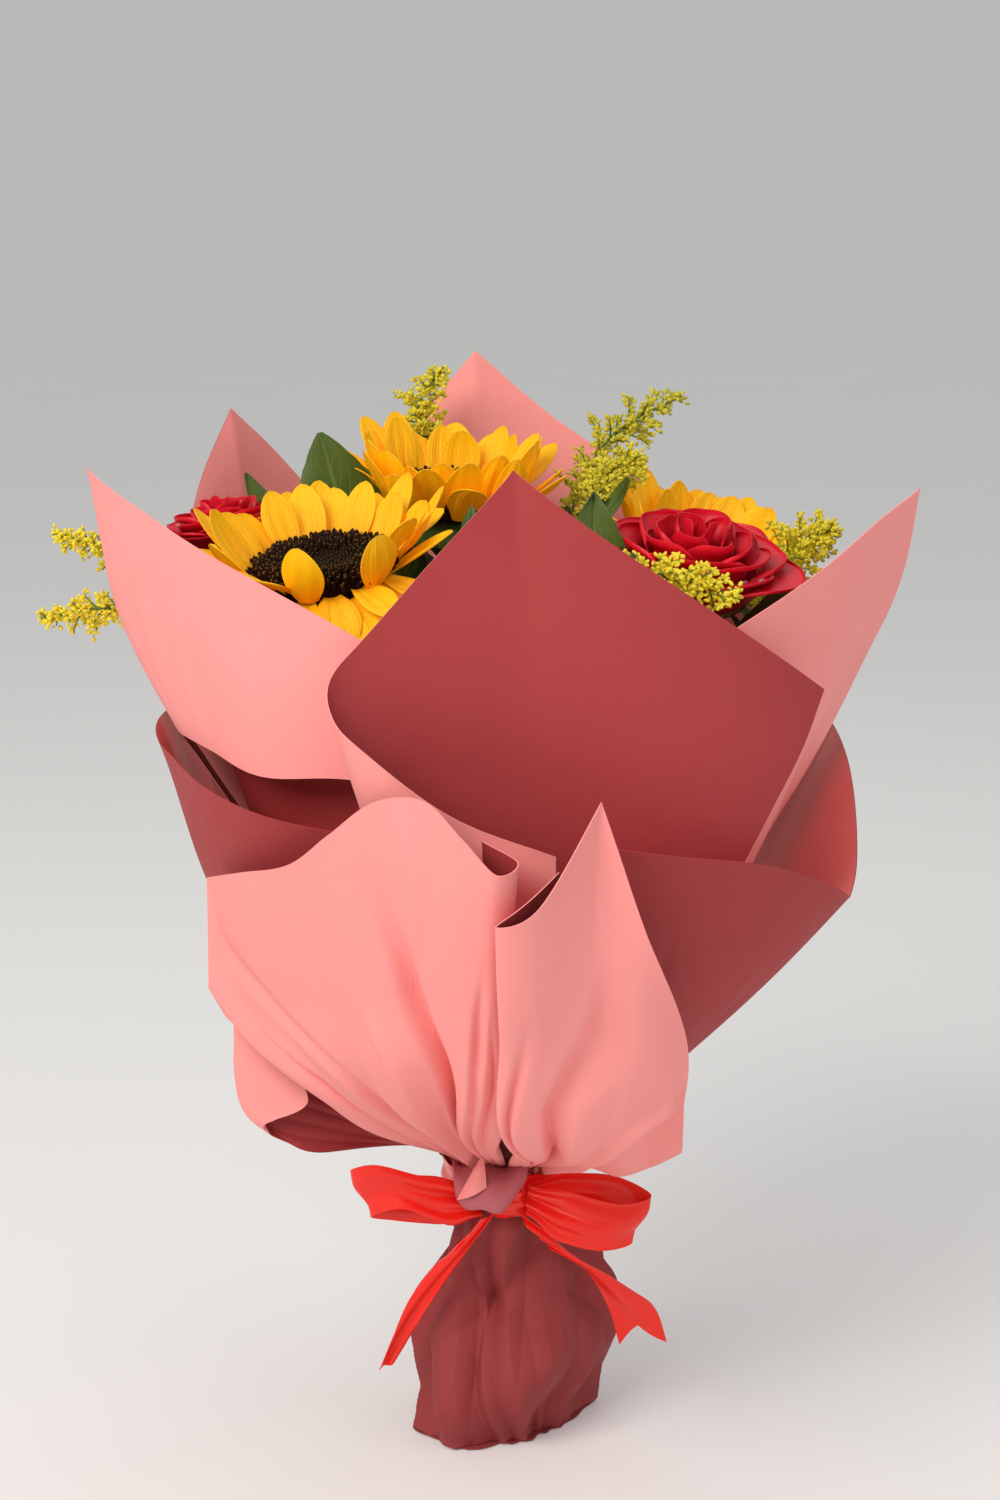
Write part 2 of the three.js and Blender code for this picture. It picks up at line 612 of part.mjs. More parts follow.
ROSES.forEach(({ slot, radius, ...pose }, i) => {
  const name = `rose_${i + 1}`;
  const frame = headFrame(pose);
  const height = ROSE_TALL * radius;
  const bloom = turned(
    [
      [0, -ROSE_SEAT * height],
      [0.34 * radius, -0.52 * height],
      [0.72 * radius, -0.28 * height],
      [0.9 * radius, 0.05 * height],
      [radius, 0.24 * height],
      [0.86 * radius, 0.3 * height],
      [0.6 * radius, 0.4 * height],
      [0.3 * radius, 0.45 * height],
      [0, 0.4 * height],
    ],
    12,
    (angle, at) => (at > 0.8 * radius ? 0.97 + 0.03 * Math.cos(4 * angle) : 1),
  );
  piece(`${name}_bloom`, faced(bloom, frame, 0), ROSE_RED, 0.5);

  const end = frame.centre.clone().addScaledVector(frame.facing, -ROSE_SEAT * height - GAP);
  const curve = stemCurve(OUTER_CIRCLE, slot, end, frame.facing, 2 * SEPAL_HEIGHT);
  const head = SEPAL_HEIGHT / curve.getLength();
  const swell = (t) => ROSE_STEM * (1 + 1.6 * THREE.MathUtils.smoothstep(t, 1 - 1.6 * head, 1 - 0.3 * head));
  piece(`${name}_stem`, stalk(curve, swell, 6, 16), STEM_GREEN, 0.8);
});

// ---- Goldenrod: each spray is one grown piece, a thin stem and the plume that it carries ----
const GOLDENRODS = [
  { slot: 162, base: [164, 0.45, 0.8], middle: [156, 0.52, 0.9], tip: [143, 0.6, 0.955], plume: 9 },
  { slot: 144, base: [140, 0.2, 0.82], middle: [142, 0.26, 0.86], tip: [135, 0.34, 0.885], plume: 9 },
  { slot: 24, base: [22, 0.38, 0.78], middle: [38, 0.42, 0.815], tip: [50, 0.52, 0.79], plume: 9 },
  { slot: 72, base: [98, 0.5, 0.72], middle: [96, 0.56, 0.78], tip: [94, 0.66, 0.81], plume: 10 },
  { slot: -108, base: [-106, 0.72, 0.66], middle: [-102, 0.88, 0.69], tip: [-98, 1.04, 0.68], plume: 7 },
  { slot: -178, base: [-162, 0.52, 0.86], middle: [-158, 0.51, 0.94], tip: [-163, 0.47, 0.995], plume: 8 },
  { slot: -71, base: [-103, 0.76, 0.74], middle: [-99, 0.88, 0.775], tip: [-96, 0.99, 0.795], plume: 6 },
  { slot: -31, base: [-20, 0, 0.66], middle: [-25, 0.02, 0.74], tip: [-30, 0.06, 0.82], plume: 8 },
];

GOLDENRODS.forEach(({ slot, base, middle, tip, plume }, i) => {
  const curve = new THREE.CatmullRomCurve3([
    around(slot, OUTER_CIRCLE * CUT_SPREAD, CUT_HEIGHT),
    around(slot, OUTER_CIRCLE, NECK_HEIGHT - 2 * TIE_HEIGHT),
    around(slot, OUTER_CIRCLE + 1, NECK_HEIGHT + TIE_HEIGHT),
    inHead(SHEET_RADIUS, base),
    inHead(SHEET_RADIUS, middle),
    inHead(SHEET_RADIUS, tip),
  ]);
  const upTo = inHead(SHEET_RADIUS, base).distanceTo(inHead(SHEET_RADIUS, middle)) * 2;
  const begins = 1 - upTo / curve.getLength();
  const swell = (t) => {
    const f = THREE.MathUtils.clamp((t - begins) / (1 - begins), 0, 1);
    return GOLDENROD_STEM + plume * Math.sin(Math.PI * f ** 0.7) * (1 - 0.4 * f);
  };
  piece(`goldenrod_${i + 1}`, stalk(curve, swell, 5, 18), GOLDEN, 0.95);
});

// ---- Leaves: each on its own petiole, from beside the stems to the tip ----
const LEAVES = [
  { from: [-114, 0.16, 0.5], to: [-109, 0.37, 0.9], width: 34, roll: 20 },
  { from: [48, 0.12, 0.5], to: [35, 0.22, 0.87], width: 24, roll: 0 },
  { from: [-122, 0.1, 0.5], to: [-116, 0.6, 0.89], width: 20, roll: 30 },
  { from: [-68, 0, 0.5], to: [-68, 0, 0.84], width: 14, roll: 0 },
  { from: [80, 0.2, 0.5], to: [82, 0.56, 0.76], width: 26, roll: 20 },
  { from: [-20, 0.1, 0.4], to: [-36, 0.3, 0.7], width: 26, roll: 10 },
  { from: [165, 0.1, 0.5], to: [165, 0.42, 0.8], width: 28, roll: 0 },
];

const leafBlade = ({ from, to, width, roll }) => {
  const root = inHead(SHEET_RADIUS, from);
  const tip = inHead(SHEET_RADIUS, to);
  const along = tip.clone().sub(root);
  const outwards = new THREE.Vector3(tip.x, tip.y, 0).normalize();
  const side = along.clone().cross(outwards).normalize();
  side.applyAxisAngle(along.clone().normalize(), THREE.MathUtils.degToRad(roll));
  const arch = side.clone().cross(along).normalize();
  const surface = (u, v) => {
    const f = Math.max((v - PETIOLE) / (1 - PETIOLE), 0);
    const half = PETIOLE_RADIUS + (width / 2) * Math.sin(Math.PI * f ** 0.8) ** 0.8 * (1 - 0.25 * f);
    return root
      .clone()
      .addScaledVector(along, v)
      .addScaledVector(arch, LEAF_ARCH * Math.sin(Math.PI * v))
      .addScaledVector(side, (u - 0.5) * 2 * half);
  };
  return shell(surface, LEAF, 2, 8);
};

LEAVES.forEach((leaf, i) => piece(`leaf_${i + 1}`, leafBlade(leaf), LEAF_GREEN, 0.6));

export default bunch;
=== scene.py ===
"""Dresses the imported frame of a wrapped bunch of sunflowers, roses and goldenrod.

Metres, +Z up, the front of the bunch towards -Y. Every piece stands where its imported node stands.
"""

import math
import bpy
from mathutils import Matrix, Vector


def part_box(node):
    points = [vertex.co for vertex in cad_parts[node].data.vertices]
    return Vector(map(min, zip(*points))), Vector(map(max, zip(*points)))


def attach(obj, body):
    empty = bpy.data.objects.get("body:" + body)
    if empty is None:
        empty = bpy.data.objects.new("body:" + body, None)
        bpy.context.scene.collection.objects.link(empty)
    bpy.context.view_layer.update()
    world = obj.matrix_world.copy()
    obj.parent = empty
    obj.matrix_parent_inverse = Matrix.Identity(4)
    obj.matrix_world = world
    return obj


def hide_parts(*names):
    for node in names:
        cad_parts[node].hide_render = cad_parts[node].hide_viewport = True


bl_info = {
    "name": "Wrapped Flower Bunch",
    "version": (1, 0, 0),
    "blender": (4, 5, 0),
    "location": "View3D > Sidebar > Bunch",
    "description": "Builds the paper, ribbon, flowers and leaves of a wrapped bunch around its packed frame",
    "category": "Add Mesh",
}

import bpy
import numpy as np
from mathutils import Vector

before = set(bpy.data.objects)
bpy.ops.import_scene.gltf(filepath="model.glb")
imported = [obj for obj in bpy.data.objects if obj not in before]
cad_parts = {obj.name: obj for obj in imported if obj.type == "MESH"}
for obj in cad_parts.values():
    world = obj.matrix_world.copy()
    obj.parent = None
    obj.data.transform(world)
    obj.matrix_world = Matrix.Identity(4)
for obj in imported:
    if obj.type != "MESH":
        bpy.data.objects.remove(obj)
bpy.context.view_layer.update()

# Sizes of the frame, in metres
SPREAD = 0.200
NECK_HEIGHT = 0.145
HEAD_RISE = 0.365
SUNFLOWER_STEM = 0.004
ROSE_STEM = 0.0025
INNER_CIRCLE = 0.008
OUTER_CIRCLE = 0.0165
SHEET_RADIUS = 0.02195
LAYER_STEP = 0.0017
SHEET_TUCK = 0.04
RIBBON_RADIUS = 0.0328
RIBBON_LEVEL = NECK_HEIGHT - 0.021
CUT_HEIGHT = 0.006
CUT_SPREAD = 1.5
TIE_HEIGHT = 0.008
DISC_RADIUS = 0.033
RECEPTACLE_RADIUS = 0.020
RECEPTACLE_HEIGHT = 0.012
SEPAL_HEIGHT = 0.008
LEAF_THICKNESS = 0.0006
GOLDEN_ANGLE = math.radians(137.508)
RIGHT_ANGLE = math.pi / 2


# ---- Properties ----
def colour_property(name, description, default):
    return bpy.props.FloatVectorProperty(
        name=name, description=description, default=default, size=3, min=0, max=1, subtype="COLOR"
    )


def length_property(name, description, default):
    return bpy.props.FloatProperty(
        name=name, description=description, default=default, min=0, precision=5, unit="LENGTH"
    )


class PaperSettings(bpy.types.PropertyGroup):
    """The wrapping paper, pink on one face and dusky on the other."""

    pink: colour_property("Pink face", "Colour of the pink face", (0.95, 0.315, 0.295))
    dusky: colour_property("Dusky face", "Colour of the dusky face", (0.39, 0.044, 0.046))
    foot: colour_property("Foot paper", "Colour of the gathered foot", (0.285, 0.040, 0.040))
    thickness: length_property("Thickness", "Thickness of a sheet", 0.0005)
    pleat_depth: length_property("Pleat depth", "Depth of the gathers above the neck", 0.0040)
    foot_radius: length_property("Foot radius", "Radius of the foot where it bulges", 0.052)


class RibbonSettings(bpy.types.PropertyGroup):
    """The satin ribbon and its bow."""

    red: colour_property("Satin", "Colour of the satin", (0.76, 0.010, 0.006))
    width: length_property("Width", "Width of the ribbon", 0.020)
    thickness: length_property("Thickness", "Thickness of the ribbon", 0.0005)


class FlowerSettings(bpy.types.PropertyGroup):
    """The sunflowers, roses and goldenrod."""

    ray: colour_property("Ray petals", "Colour of the sunflower's petals", (1.0, 0.55, 0.0015))
    ray_base: colour_property("Ray bases", "Colour where the petals meet the disc", (1.0, 0.30, 0.001))
    disc_rim: colour_property("Disc rim", "Colour of the disc's outer florets", (0.052, 0.016, 0.006))
    disc_heart: colour_property("Disc heart", "Colour of the disc's middle", (0.085, 0.080, 0.018))
    rose: colour_property("Rose petals", "Colour of the rose petals", (0.62, 0.004, 0.018))
    golden: colour_property("Goldenrod", "Colour of the goldenrod's florets", (0.86, 0.70, 0.025))
    rays: bpy.props.IntProperty(name="Rays", description="Petals in a sunflower's ring", default=19, min=8)


class LeafSettings(bpy.types.PropertyGroup):
    """The leaves, the stems and their tie."""

    leaf: colour_property("Leaf", "Colour of the leaves", (0.070, 0.122, 0.016))
    stem: colour_property("Stem", "Colour of the stems", (0.085, 0.170, 0.035))
    twine: colour_property("Twine", "Colour of the tie round the stems", (0.45, 0.31, 0.13))


class StageSettings(bpy.types.PropertyGroup):
    """The floor and the light round the bunch."""

    floor: colour_property("Floor", "Colour of the floor", (0.74, 0.73, 0.71))
    key: bpy.props.FloatProperty(
        name="Key light", description="Power of the large soft light", default=40.0, min=0, unit="POWER"
    )
    fill: bpy.props.FloatProperty(
        name="Fill light", description="Power of the fill light", default=6.0, min=0, unit="POWER"
    )


# ---- Shader maths ----
class Field:
    """A number that varies over a surface: sums and products of it add Math nodes."""

    def __init__(self, tree, socket):
        self.tree = tree
        self.socket = socket

    def _math(self, operation, *values, clamp=False):
        node = self.tree.nodes.new("ShaderNodeMath")
        node.operation = operation
        node.use_clamp = clamp
        for slot, value in zip(node.inputs, values):
            if isinstance(value, Field):
                self.tree.links.new(value.socket, slot)
            else:
                slot.default_value = value
        return Field(self.tree, node.outputs[0])

    def __add__(self, other):
        return self._math("ADD", self, other)

    def __sub__(self, other):
        return self._math("SUBTRACT", self, other)

    def __rsub__(self, other):
        return self._math("SUBTRACT", other, self)

    def __mul__(self, other):
        return self._math("MULTIPLY", self, other)

    def __pow__(self, other):
        return self._math("POWER", self, other)

    __radd__ = __add__
    __rmul__ = __mul__

    def sine(self):
        return self._math("SINE", self)

    def size(self):
        return self._math("ABSOLUTE", self)

    def clamped(self):
        return self._math("ADD", self, 0.0, clamp=True)


class Finish:
    """One material: a Principled shader and the nodes that vary it."""

    def __init__(self, name):
        self.material = bpy.data.materials.new(name)
        self.material.use_nodes = True
        self.tree = self.material.node_tree
        self.shader = self.tree.nodes["Principled BSDF"]
        self.place = self.node("ShaderNodeTexCoord").outputs["Object"]
        self.across, self.along = self._uv()

    def _uv(self):
        uv = self.node("ShaderNodeUVMap", {"uv_map": "UVMap"})
        parts = self.node("ShaderNodeSeparateXYZ", {}, {"Vector": uv.outputs[0]})
        return Field(self.tree, parts.outputs[0]), Field(self.tree, parts.outputs[1])

    def node(self, kind, settings=None, values=None):
        """A node of any kind: its settings first, then the values or links of its sockets."""
        made = self.tree.nodes.new(kind)
        for key, value in (settings or {}).items():
            if key == "stops":
                self._stops(made.color_ramp, value)
            else:
                setattr(made, key, value)
        for key, value in (values or {}).items():
            self.feed(made.inputs[key], value)
        return made

    @staticmethod
    def _stops(ramp, stops):
        for at, colour in stops[2:]:
            ramp.elements.new(at)
        for element, (at, colour) in zip(ramp.elements, sorted(stops)):
            element.position = at
            element.color = (*colour, 1)

    def feed(self, slot, value):
        if isinstance(value, Field):
            self.tree.links.new(value.socket, slot)
        elif isinstance(value, bpy.types.NodeSocket):
            self.tree.links.new(value, slot)
        else:
            slot.default_value = value

    def noise(self, scale, detail=3.0, roughness=0.5, stretch=None, over=None):
        """Noise around one half, over the place in the bunch or over the unwrapped surface."""
        vector = over or self.place
        if stretch:
            vector = self.node(
                "ShaderNodeVectorMath", {"operation": "MULTIPLY"}, {0: vector, 1: stretch}
            ).outputs[0]
        made = self.node(
            "ShaderNodeTexNoise",
            {},
            {"Vector": vector, "Scale": scale, "Detail": detail, "Roughness": roughness},
        )
        return Field(self.tree, made.outputs[0])

    def unwrapped(self):
        return self.node("ShaderNodeUVMap", {"uv_map": "UVMap"}).outputs[0]

    def mix(self, share, first, second):
        """The colour between two colours."""
        made = self.node("ShaderNodeMix", {"data_type": "RGBA"}, {0: share})
        for slot, value in ((made.inputs[6], first), (made.inputs[7], second)):
            self.feed(slot, (*value, 1) if isinstance(value, tuple) else value)
        return made.outputs[2]

    def ramp(self, share, *stops):
        return self.node("ShaderNodeValToRGB", {"stops": stops}, {"Fac": share}).outputs[0]

    def bump(self, height, distance, strength=1.0):
        made = self.node("ShaderNodeBump", {}, {"Height": height, "Distance": distance, "Strength": strength})
        self.feed(self.shader.inputs["Normal"], made.outputs[0])

    def set(self, **values):
        """Values of the shader's own sockets, named with underscores for spaces."""
        for key, value in values.items():
            slot = self.shader.inputs[key.replace("_", " ")]
            self.feed(slot, (*value, 1) if isinstance(value, tuple) and len(value) == 3 else value)
        return self


def shade(colour, share):
    """A colour made lighter or darker, as plain numbers."""
    return tuple(min(1.0, part * share) for part in colour)


# ---- Materials ----
def paper_finish(name, colour, crumple):
    """Matte florist's paper: faint mottling, fine fibres and soft creases."""
    paper = Finish(name)
    cloud = paper.noise(9.0, 2.0)
    fibre = paper.noise(900.0, 2.0)
    crease = paper.noise(46.0, 4.0, 0.62)
    tone = paper.mix((cloud * 1.5 - 0.25).clamped(), shade(colour, 0.93), shade(colour, 1.07))
    tone = paper.mix((fibre * 0.24).clamped(), tone, shade(colour, 0.86))
    paper.set(Base_Color=tone, Roughness=0.55 + crease * 0.2, Specular_IOR_Level=0.22)
    paper.bump(crease * crumple + fibre * 0.05, 0.0016, 0.5)
    return paper.material


def satin_finish(name, colour):
    """Satin ribbon: a fine weave along its length, whose lighter and darker streaks are partly a painted
    sheen, and a faint painted glow all over.
    """
    satin = Finish(name)
    weave = satin.noise(1.0, 2.0, 0.6, stretch=(60.0, 3.0, 1.0), over=satin.unwrapped())
    warp = (satin.across * 900.0).sine()
    # The streaks are lighter and darker copies of the red: partly the weave, partly a painted sheen.
    tone = satin.mix((weave * 0.8).clamped(), shade(colour, 1.12), shade(colour, 0.78))
    satin.set(Base_Color=tone, Roughness=0.20 + weave * 0.12, Coat_Weight=0.45, Coat_Roughness=0.18)
    satin.set(Anisotropic=0.55, Specular_IOR_Level=0.6, Specular_Tint=(1.0, 0.45, 0.3))
    # Painted glow: the satin gives off a little light of its own.
    satin.set(Emission_Color=tone, Emission_Strength=0.12)
    satin.bump(weave + warp * 0.03, 0.0005, 0.4)
    return satin.material


def ray_finish(name, tip, base):
    """A ray petal: fine grooves along it, deeper orange towards the disc, and a faint painted glow as if lit
    through.
    """
    ray = Finish(name)
    groove = ray.noise(1.0, 3.0, 0.6, stretch=(26.0, 2.2, 1.0), over=ray.unwrapped())
    vein = (ray.across * 31.4).sine().size()
    body = ray.mix(((1.0 - ray.along) ** 2.2).clamped(), tip, base)
    body = ray.mix((groove * 0.55 - 0.08).clamped(), body, shade(base, 1.05))
    body = ray.mix((ray.noise(45.0, 2.0) * 0.35).clamped(), body, (1.0, 0.56, 0.012))
    ray.set(Base_Color=body, Roughness=0.42 + groove * 0.2, Subsurface_Weight=0.2)
    # Painted glow: the petal gives off a little light of its own, to look lit through.
    ray.set(Subsurface_Scale=0.006, Specular_IOR_Level=0.25, Emission_Color=body, Emission_Strength=0.10)
    ray.bump(groove + vein * 0.35, 0.0007, 0.7)
    return ray.material


def floret_finish(name, rim, heart):
    """The disc's florets: dark and brown at the rim with pollen-tipped ends, greenish in the middle, with
    painted shade low between them.
    """
    floret = Finish(name)
    grain = floret.noise(420.0, 3.0)
    body = floret.ramp(
        floret.across,
        (0.0, heart),
        (1.0, shade(rim, 1.5)),
        (0.38, shade(heart, 0.62)),
        (0.55, shade(rim, 0.8)),
        (0.8, rim),
    )
    tip = floret.mix(((floret.across - 0.45) * 2.5).clamped(), (0.22, 0.23, 0.04), (0.40, 0.15, 0.012))
    # Painted shade: each floret is darker towards its base, where the florets shade one another.
    body = floret.mix(((floret.along - 0.72) * 3.2).clamped(), shade(rim, 0.35), body)
    body = floret.mix(((floret.along - 0.80) * 5.0).clamped(), body, tip)
    body = floret.mix((grain * 0.9 - 0.3).clamped(), body, (0.012, 0.005, 0.003))
    floret.set(Base_Color=body, Roughness=0.9, Specular_IOR_Level=0.15)
    floret.bump(grain, 0.0004, 0.6)
    return floret.material


def rose_finish(name, colour):
    """Velvet rose petals, darker towards the base as painted shade deep in the bloom, with painted highlights
    on their rims, a faint painted glow and a fine net of veins.
    """
    rose = Finish(name)
    vein = rose.noise(1.0, 3.0, 0.6, stretch=(20.0, 3.0, 1.0), over=rose.unwrapped())
    # Painted shade: each petal darker towards its base, deep in the bloom.
    body = rose.mix(rose.along.clamped(), shade(colour, 0.40), shade(colour, 1.1))
    body = rose.mix((rose.noise(60.0) * 0.7 - 0.15).clamped(), body, shade(colour, 0.66))
    # Painted highlight: the petals' rims lighter.
    body = rose.mix(((rose.along - 0.93) * 6.0).clamped(), body, shade(colour, 1.5))
    rose.set(Base_Color=body, Roughness=0.34 + vein * 0.18, Specular_IOR_Level=0.35)
    # Painted glow: the petals give off a little light of their own.
    rose.set(Subsurface_Weight=0.1, Subsurface_Scale=0.003, Emission_Color=body, Emission_Strength=0.05)
    rose.bump(vein, 0.0006, 0.5)
    return rose.material


def plant_finish(name, colour, veins=False):
    """Leaf and stem green, mottled, with side veins where the surface is a blade."""
    green = Finish(name)
    mottle = green.noise(70.0, 4.0, 0.6)
    body = green.mix((mottle * 1.2 - 0.1).clamped(), shade(colour, 0.72), shade(colour, 1.5))
    relief = mottle * 0.4
    if veins:
        offset = (green.across - 0.5).size()
        rib = (1.0 - offset * 26.0).clamped()
        side = ((green.along - offset * 0.55) * 88.0).sine()
        side = ((side - 0.80) * 5.0).clamped()
        body = green.mix((side * 0.35 + rib * 0.7).clamped(), body, shade(colour, 2.3))
        relief = relief - side * 0.5 - rib * 0.8
    green.set(Base_Color=body, Roughness=0.38 + mottle * 0.2, Subsurface_Weight=0.05)
    green.set(Subsurface_Scale=0.002)
    green.bump(relief, 0.0007, 0.7)
    return green.material


def golden_finish(name, colour):
    """Goldenrod florets, from green buds to golden yellow, darker towards each floret's base as painted shade,
    with a faint painted glow.
    """
    golden = Finish(name)
    ripe = (golden.across * 1.5 + golden.noise(150.0, 2.0) * 0.7 - 0.55).clamped()
    body = golden.mix(ripe, (0.20, 0.27, 0.03), colour)
    # Painted shade: each floret darker towards its base, among its neighbours.
    body = golden.mix(golden.along.clamped(), shade(colour, 0.75), body)
    # Painted glow: the florets give off a little light of their own.
    golden.set(Base_Color=body, Roughness=0.6, Emission_Color=body, Emission_Strength=0.12)
    golden.bump(golden.noise(1200.0, 1.0), 0.0003, 0.5)
    return golden.material


def dew_finish(name):
    """Water drops."""
    dew = Finish(name)
    dew.set(Base_Color=(0.96, 0.97, 1.0), Roughness=0.03, IOR=1.333, Transmission_Weight=0.92)
    dew.bump(dew.noise(800.0, 1.0), 0.0001, 0.1)
    return dew.material


def twine_finish(name, colour):
    """Twisted twine, darker in the grooves of its twist as painted shade."""
    twine = Finish(name)
    twist = (twine.across * 60.0 + twine.along * 200.0).sine()
    # Painted shade: the bands that lie low in the twist's relief are darker.
    body = twine.mix((twist * 0.5 + 0.5).clamped(), shade(colour, 0.6), shade(colour, 1.1))
    twine.set(Base_Color=body, Roughness=0.9)
    twine.bump(twist + twine.noise(900.0), 0.0005, 0.8)
    return twine.material


def floor_finish(name, colour):
    """A plain matte floor with a faint glow of its own."""
    floor = Finish(name)
    cloud = floor.noise(3.0, 2.0)
    floor.set(Base_Color=floor.mix(cloud, shade(colour, 0.985), shade(colour, 1.015)), Roughness=0.85)
    floor.set(Emission_Color=(0.97, 0.985, 1.0), Emission_Strength=0.125)
    return floor.material


FINISHES = {}


def finish(key):
    """A material by its key, made the first time that it is asked for."""
    scene = bpy.context.scene
    paper, ribbon = scene.bunch_paper, scene.bunch_ribbon
    flower, leaf = scene.bunch_flowers, scene.bunch_leaves
    makers = {
        "pink": lambda: paper_finish("paper_pink", tuple(paper.pink), 0.55),
        "dusky": lambda: paper_finish("paper_dusky", tuple(paper.dusky), 0.55),
        "foot": lambda: paper_finish("foot_paper", tuple(paper.foot), 1.5),
        # The lip's lighter lilac tone is a painted highlight on the rolled edge of the dusky foot paper.
        "lip": lambda: paper_finish("foot_paper_lip_highlight", (0.50, 0.135, 0.150), 0.5),
        "satin": lambda: satin_finish("red_satin", tuple(ribbon.red)),
        "ray": lambda: ray_finish("sunflower_petal", tuple(flower.ray), tuple(flower.ray_base)),
        "floret": lambda: floret_finish("sunflower_disc", tuple(flower.disc_rim), tuple(flower.disc_heart)),
        "rose": lambda: rose_finish("rose_petal", tuple(flower.rose)),
        "golden": lambda: golden_finish("goldenrod", tuple(flower.golden)),
        "dew": lambda: dew_finish("dew"),
        "leaf": lambda: plant_finish("leaf", tuple(leaf.leaf), veins=True),
        "stem": lambda: plant_finish("stem", tuple(leaf.stem)),
        "twine": lambda: twine_finish("twine", tuple(leaf.twine)),
        "floor": lambda: floor_finish("floor", tuple(scene.bunch_stage.floor)),
    }
    if key not in FINISHES:
        FINISHES[key] = makers[key]()
    return FINISHES[key]


# ---- Mesh making ----
def smooth(low, high, at):
    """A smooth step from 0 at low to 1 at high."""
    share = np.clip((np.asarray(at, float) - low) / (high - low), 0, 1)
    return share * share * (3 - 2 * share)


def unit(vectors):
    """The vectors scaled to length 1."""
    return vectors / np.maximum(np.linalg.norm(vectors, axis=-1, keepdims=True), 1e-12)


class Heap:
    """Gathers grids of points into one mesh, with a material number for each grid."""

    def __init__(self, *finishes):
        self.finishes = finishes
        self.points, self.quads, self.uvs, self.numbers = [], [], [], []
        self.count = 0

    def grid(self, points, finish_at=0, uv=None, wrap=False, flip=False):
        """Adds points[row, column]; the faces look along (column step) x (row step)."""
        rows, cols = points.shape[:2]
        index = self.count + np.arange(rows * cols).reshape(rows, cols)
        if wrap:
            index = np.concatenate([index, index[:, :1]], axis=1)
        corners = [index[:-1, :-1], index[:-1, 1:], index[1:, 1:], index[1:, :-1]]
        quads = np.stack(corners[::-1] if flip else corners, axis=-1).reshape(-1, 4)
        if uv is None:
            across, along = np.meshgrid(np.linspace(0, 1, cols), np.linspace(0, 1, rows))
            uv = np.stack([across, along], axis=-1)
        self._add(points.reshape(-1, 3), quads, uv.reshape(-1, 2), finish_at)

    def scatter(self, shape, turns, places, finish_at=0, across=None):
        """Adds one closed-round grid at every place, turned by turns[i]; across sets each copy's own U."""
        rows, cols = shape.shape[:2]
        many = len(places)
        points = np.einsum("nij,rcj->nrci", turns, shape) + np.asarray(places)[:, None, None]
        index = np.arange(rows * cols).reshape(rows, cols)
        index = np.concatenate([index, index[:, :1]], axis=1)
        quads = np.stack([index[:-1, :-1], index[:-1, 1:], index[1:, 1:], index[1:, :-1]], axis=-1)
        quads = quads.reshape(1, -1, 4) + self.count + rows * cols * np.arange(many)[:, None, None]
        uv = np.zeros((many, rows, cols, 2))
        uv[..., 0] = 0.5 if across is None else np.asarray(across)[:, None, None]
        uv[..., 1] = np.linspace(0, 1, rows)[None, :, None]
        self._add(points.reshape(-1, 3), quads.reshape(-1, 4), uv.reshape(-1, 2), finish_at)

    def _add(self, points, quads, uv, finish_at):
        self.points.append(points)
        self.quads.append(quads)
        self.uvs.append(uv)
        self.numbers.append(np.full(len(quads), finish_at))
        self.count += len(points)

    def made(self, name):
        """Makes the object."""
        points, quads = np.concatenate(self.points), np.concatenate(self.quads)
        uvs, numbers = np.concatenate(self.uvs), np.concatenate(self.numbers)
        if not np.isfinite(points).all():
            raise RuntimeError(f"{name} has a point that isn't a number")
        mesh = bpy.data.meshes.new(name)
        mesh.vertices.add(len(points))
        mesh.vertices.foreach_set("co", points.ravel())
        mesh.loops.add(quads.size)
        mesh.loops.foreach_set("vertex_index", quads.ravel())
        mesh.polygons.add(len(quads))
        mesh.polygons.foreach_set("loop_start", np.arange(len(quads)) * 4)
        mesh.polygons.foreach_set("material_index", numbers.astype(int))
        mesh.polygons.foreach_set("use_smooth", np.ones(len(quads), bool))
        layer = mesh.uv_layers.new(name="UVMap")
        layer.data.foreach_set("uv", uvs[quads.ravel()].ravel())
        mesh.validate()
        mesh.update()
        for key in self.finishes:
            mesh.materials.append(finish(key))
        made = bpy.data.objects.new(name, mesh)
        bpy.context.collection.objects.link(made)
        return made

    def piece(self, name, node, slot):
        """Makes the object, which rides on the root and stands for its node."""
        made = self.made(name)
        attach(made, "root")
        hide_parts(node)
        return made


def hermite(start, leave, stop, arrive, f):
    """The cubic from start to stop that leaves and arrives with the given slopes."""
    return (
        start * (2 * f**3 - 3 * f**2 + 1)
        + leave * (f**3 - 2 * f**2 + f)
        + stop * (3 * f**2 - 2 * f**3)
        + arrive * (f**3 - f**2)
    )


def through(points, t, corners=()):
    """A smooth curve through points that stand evenly in t, which turns sharply at the corner points."""
    points = np.asarray(points, float)
    last = len(points) - 1
    at = np.minimum(np.floor(t * last).astype(int), last - 1)
    wide = (-1,) + (1,) * (points.ndim - 1)
    f = (t * last - at).reshape(wide)
    chord = (points[1:] - points[:-1])[at]

    def slope(i):
        middle = (points[np.minimum(i + 1, last)] - points[np.maximum(i - 1, 0)]) / 2
        sharp = ((i == 0) | (i == last) | np.isin(i, list(corners))).reshape(wide)
        return np.where(sharp, chord, middle)

    return hermite(points[at], slope(at), points[at + 1], slope(at + 1), f)


def around(azimuth, radius, height):
    """Places round the bunch. The azimuth is in degrees: 0 is the front, and 90 is the right."""
    angle = np.radians(azimuth)
    return np.stack(np.broadcast_arrays(radius * np.sin(angle), -radius * np.cos(angle), height), axis=-1)


def about_axis(angle, radius, height):
    """Places round +Z, with the angle in radians from +X."""
    return np.stack(np.broadcast_arrays(radius * np.cos(angle), radius * np.sin(angle), height), axis=-1)


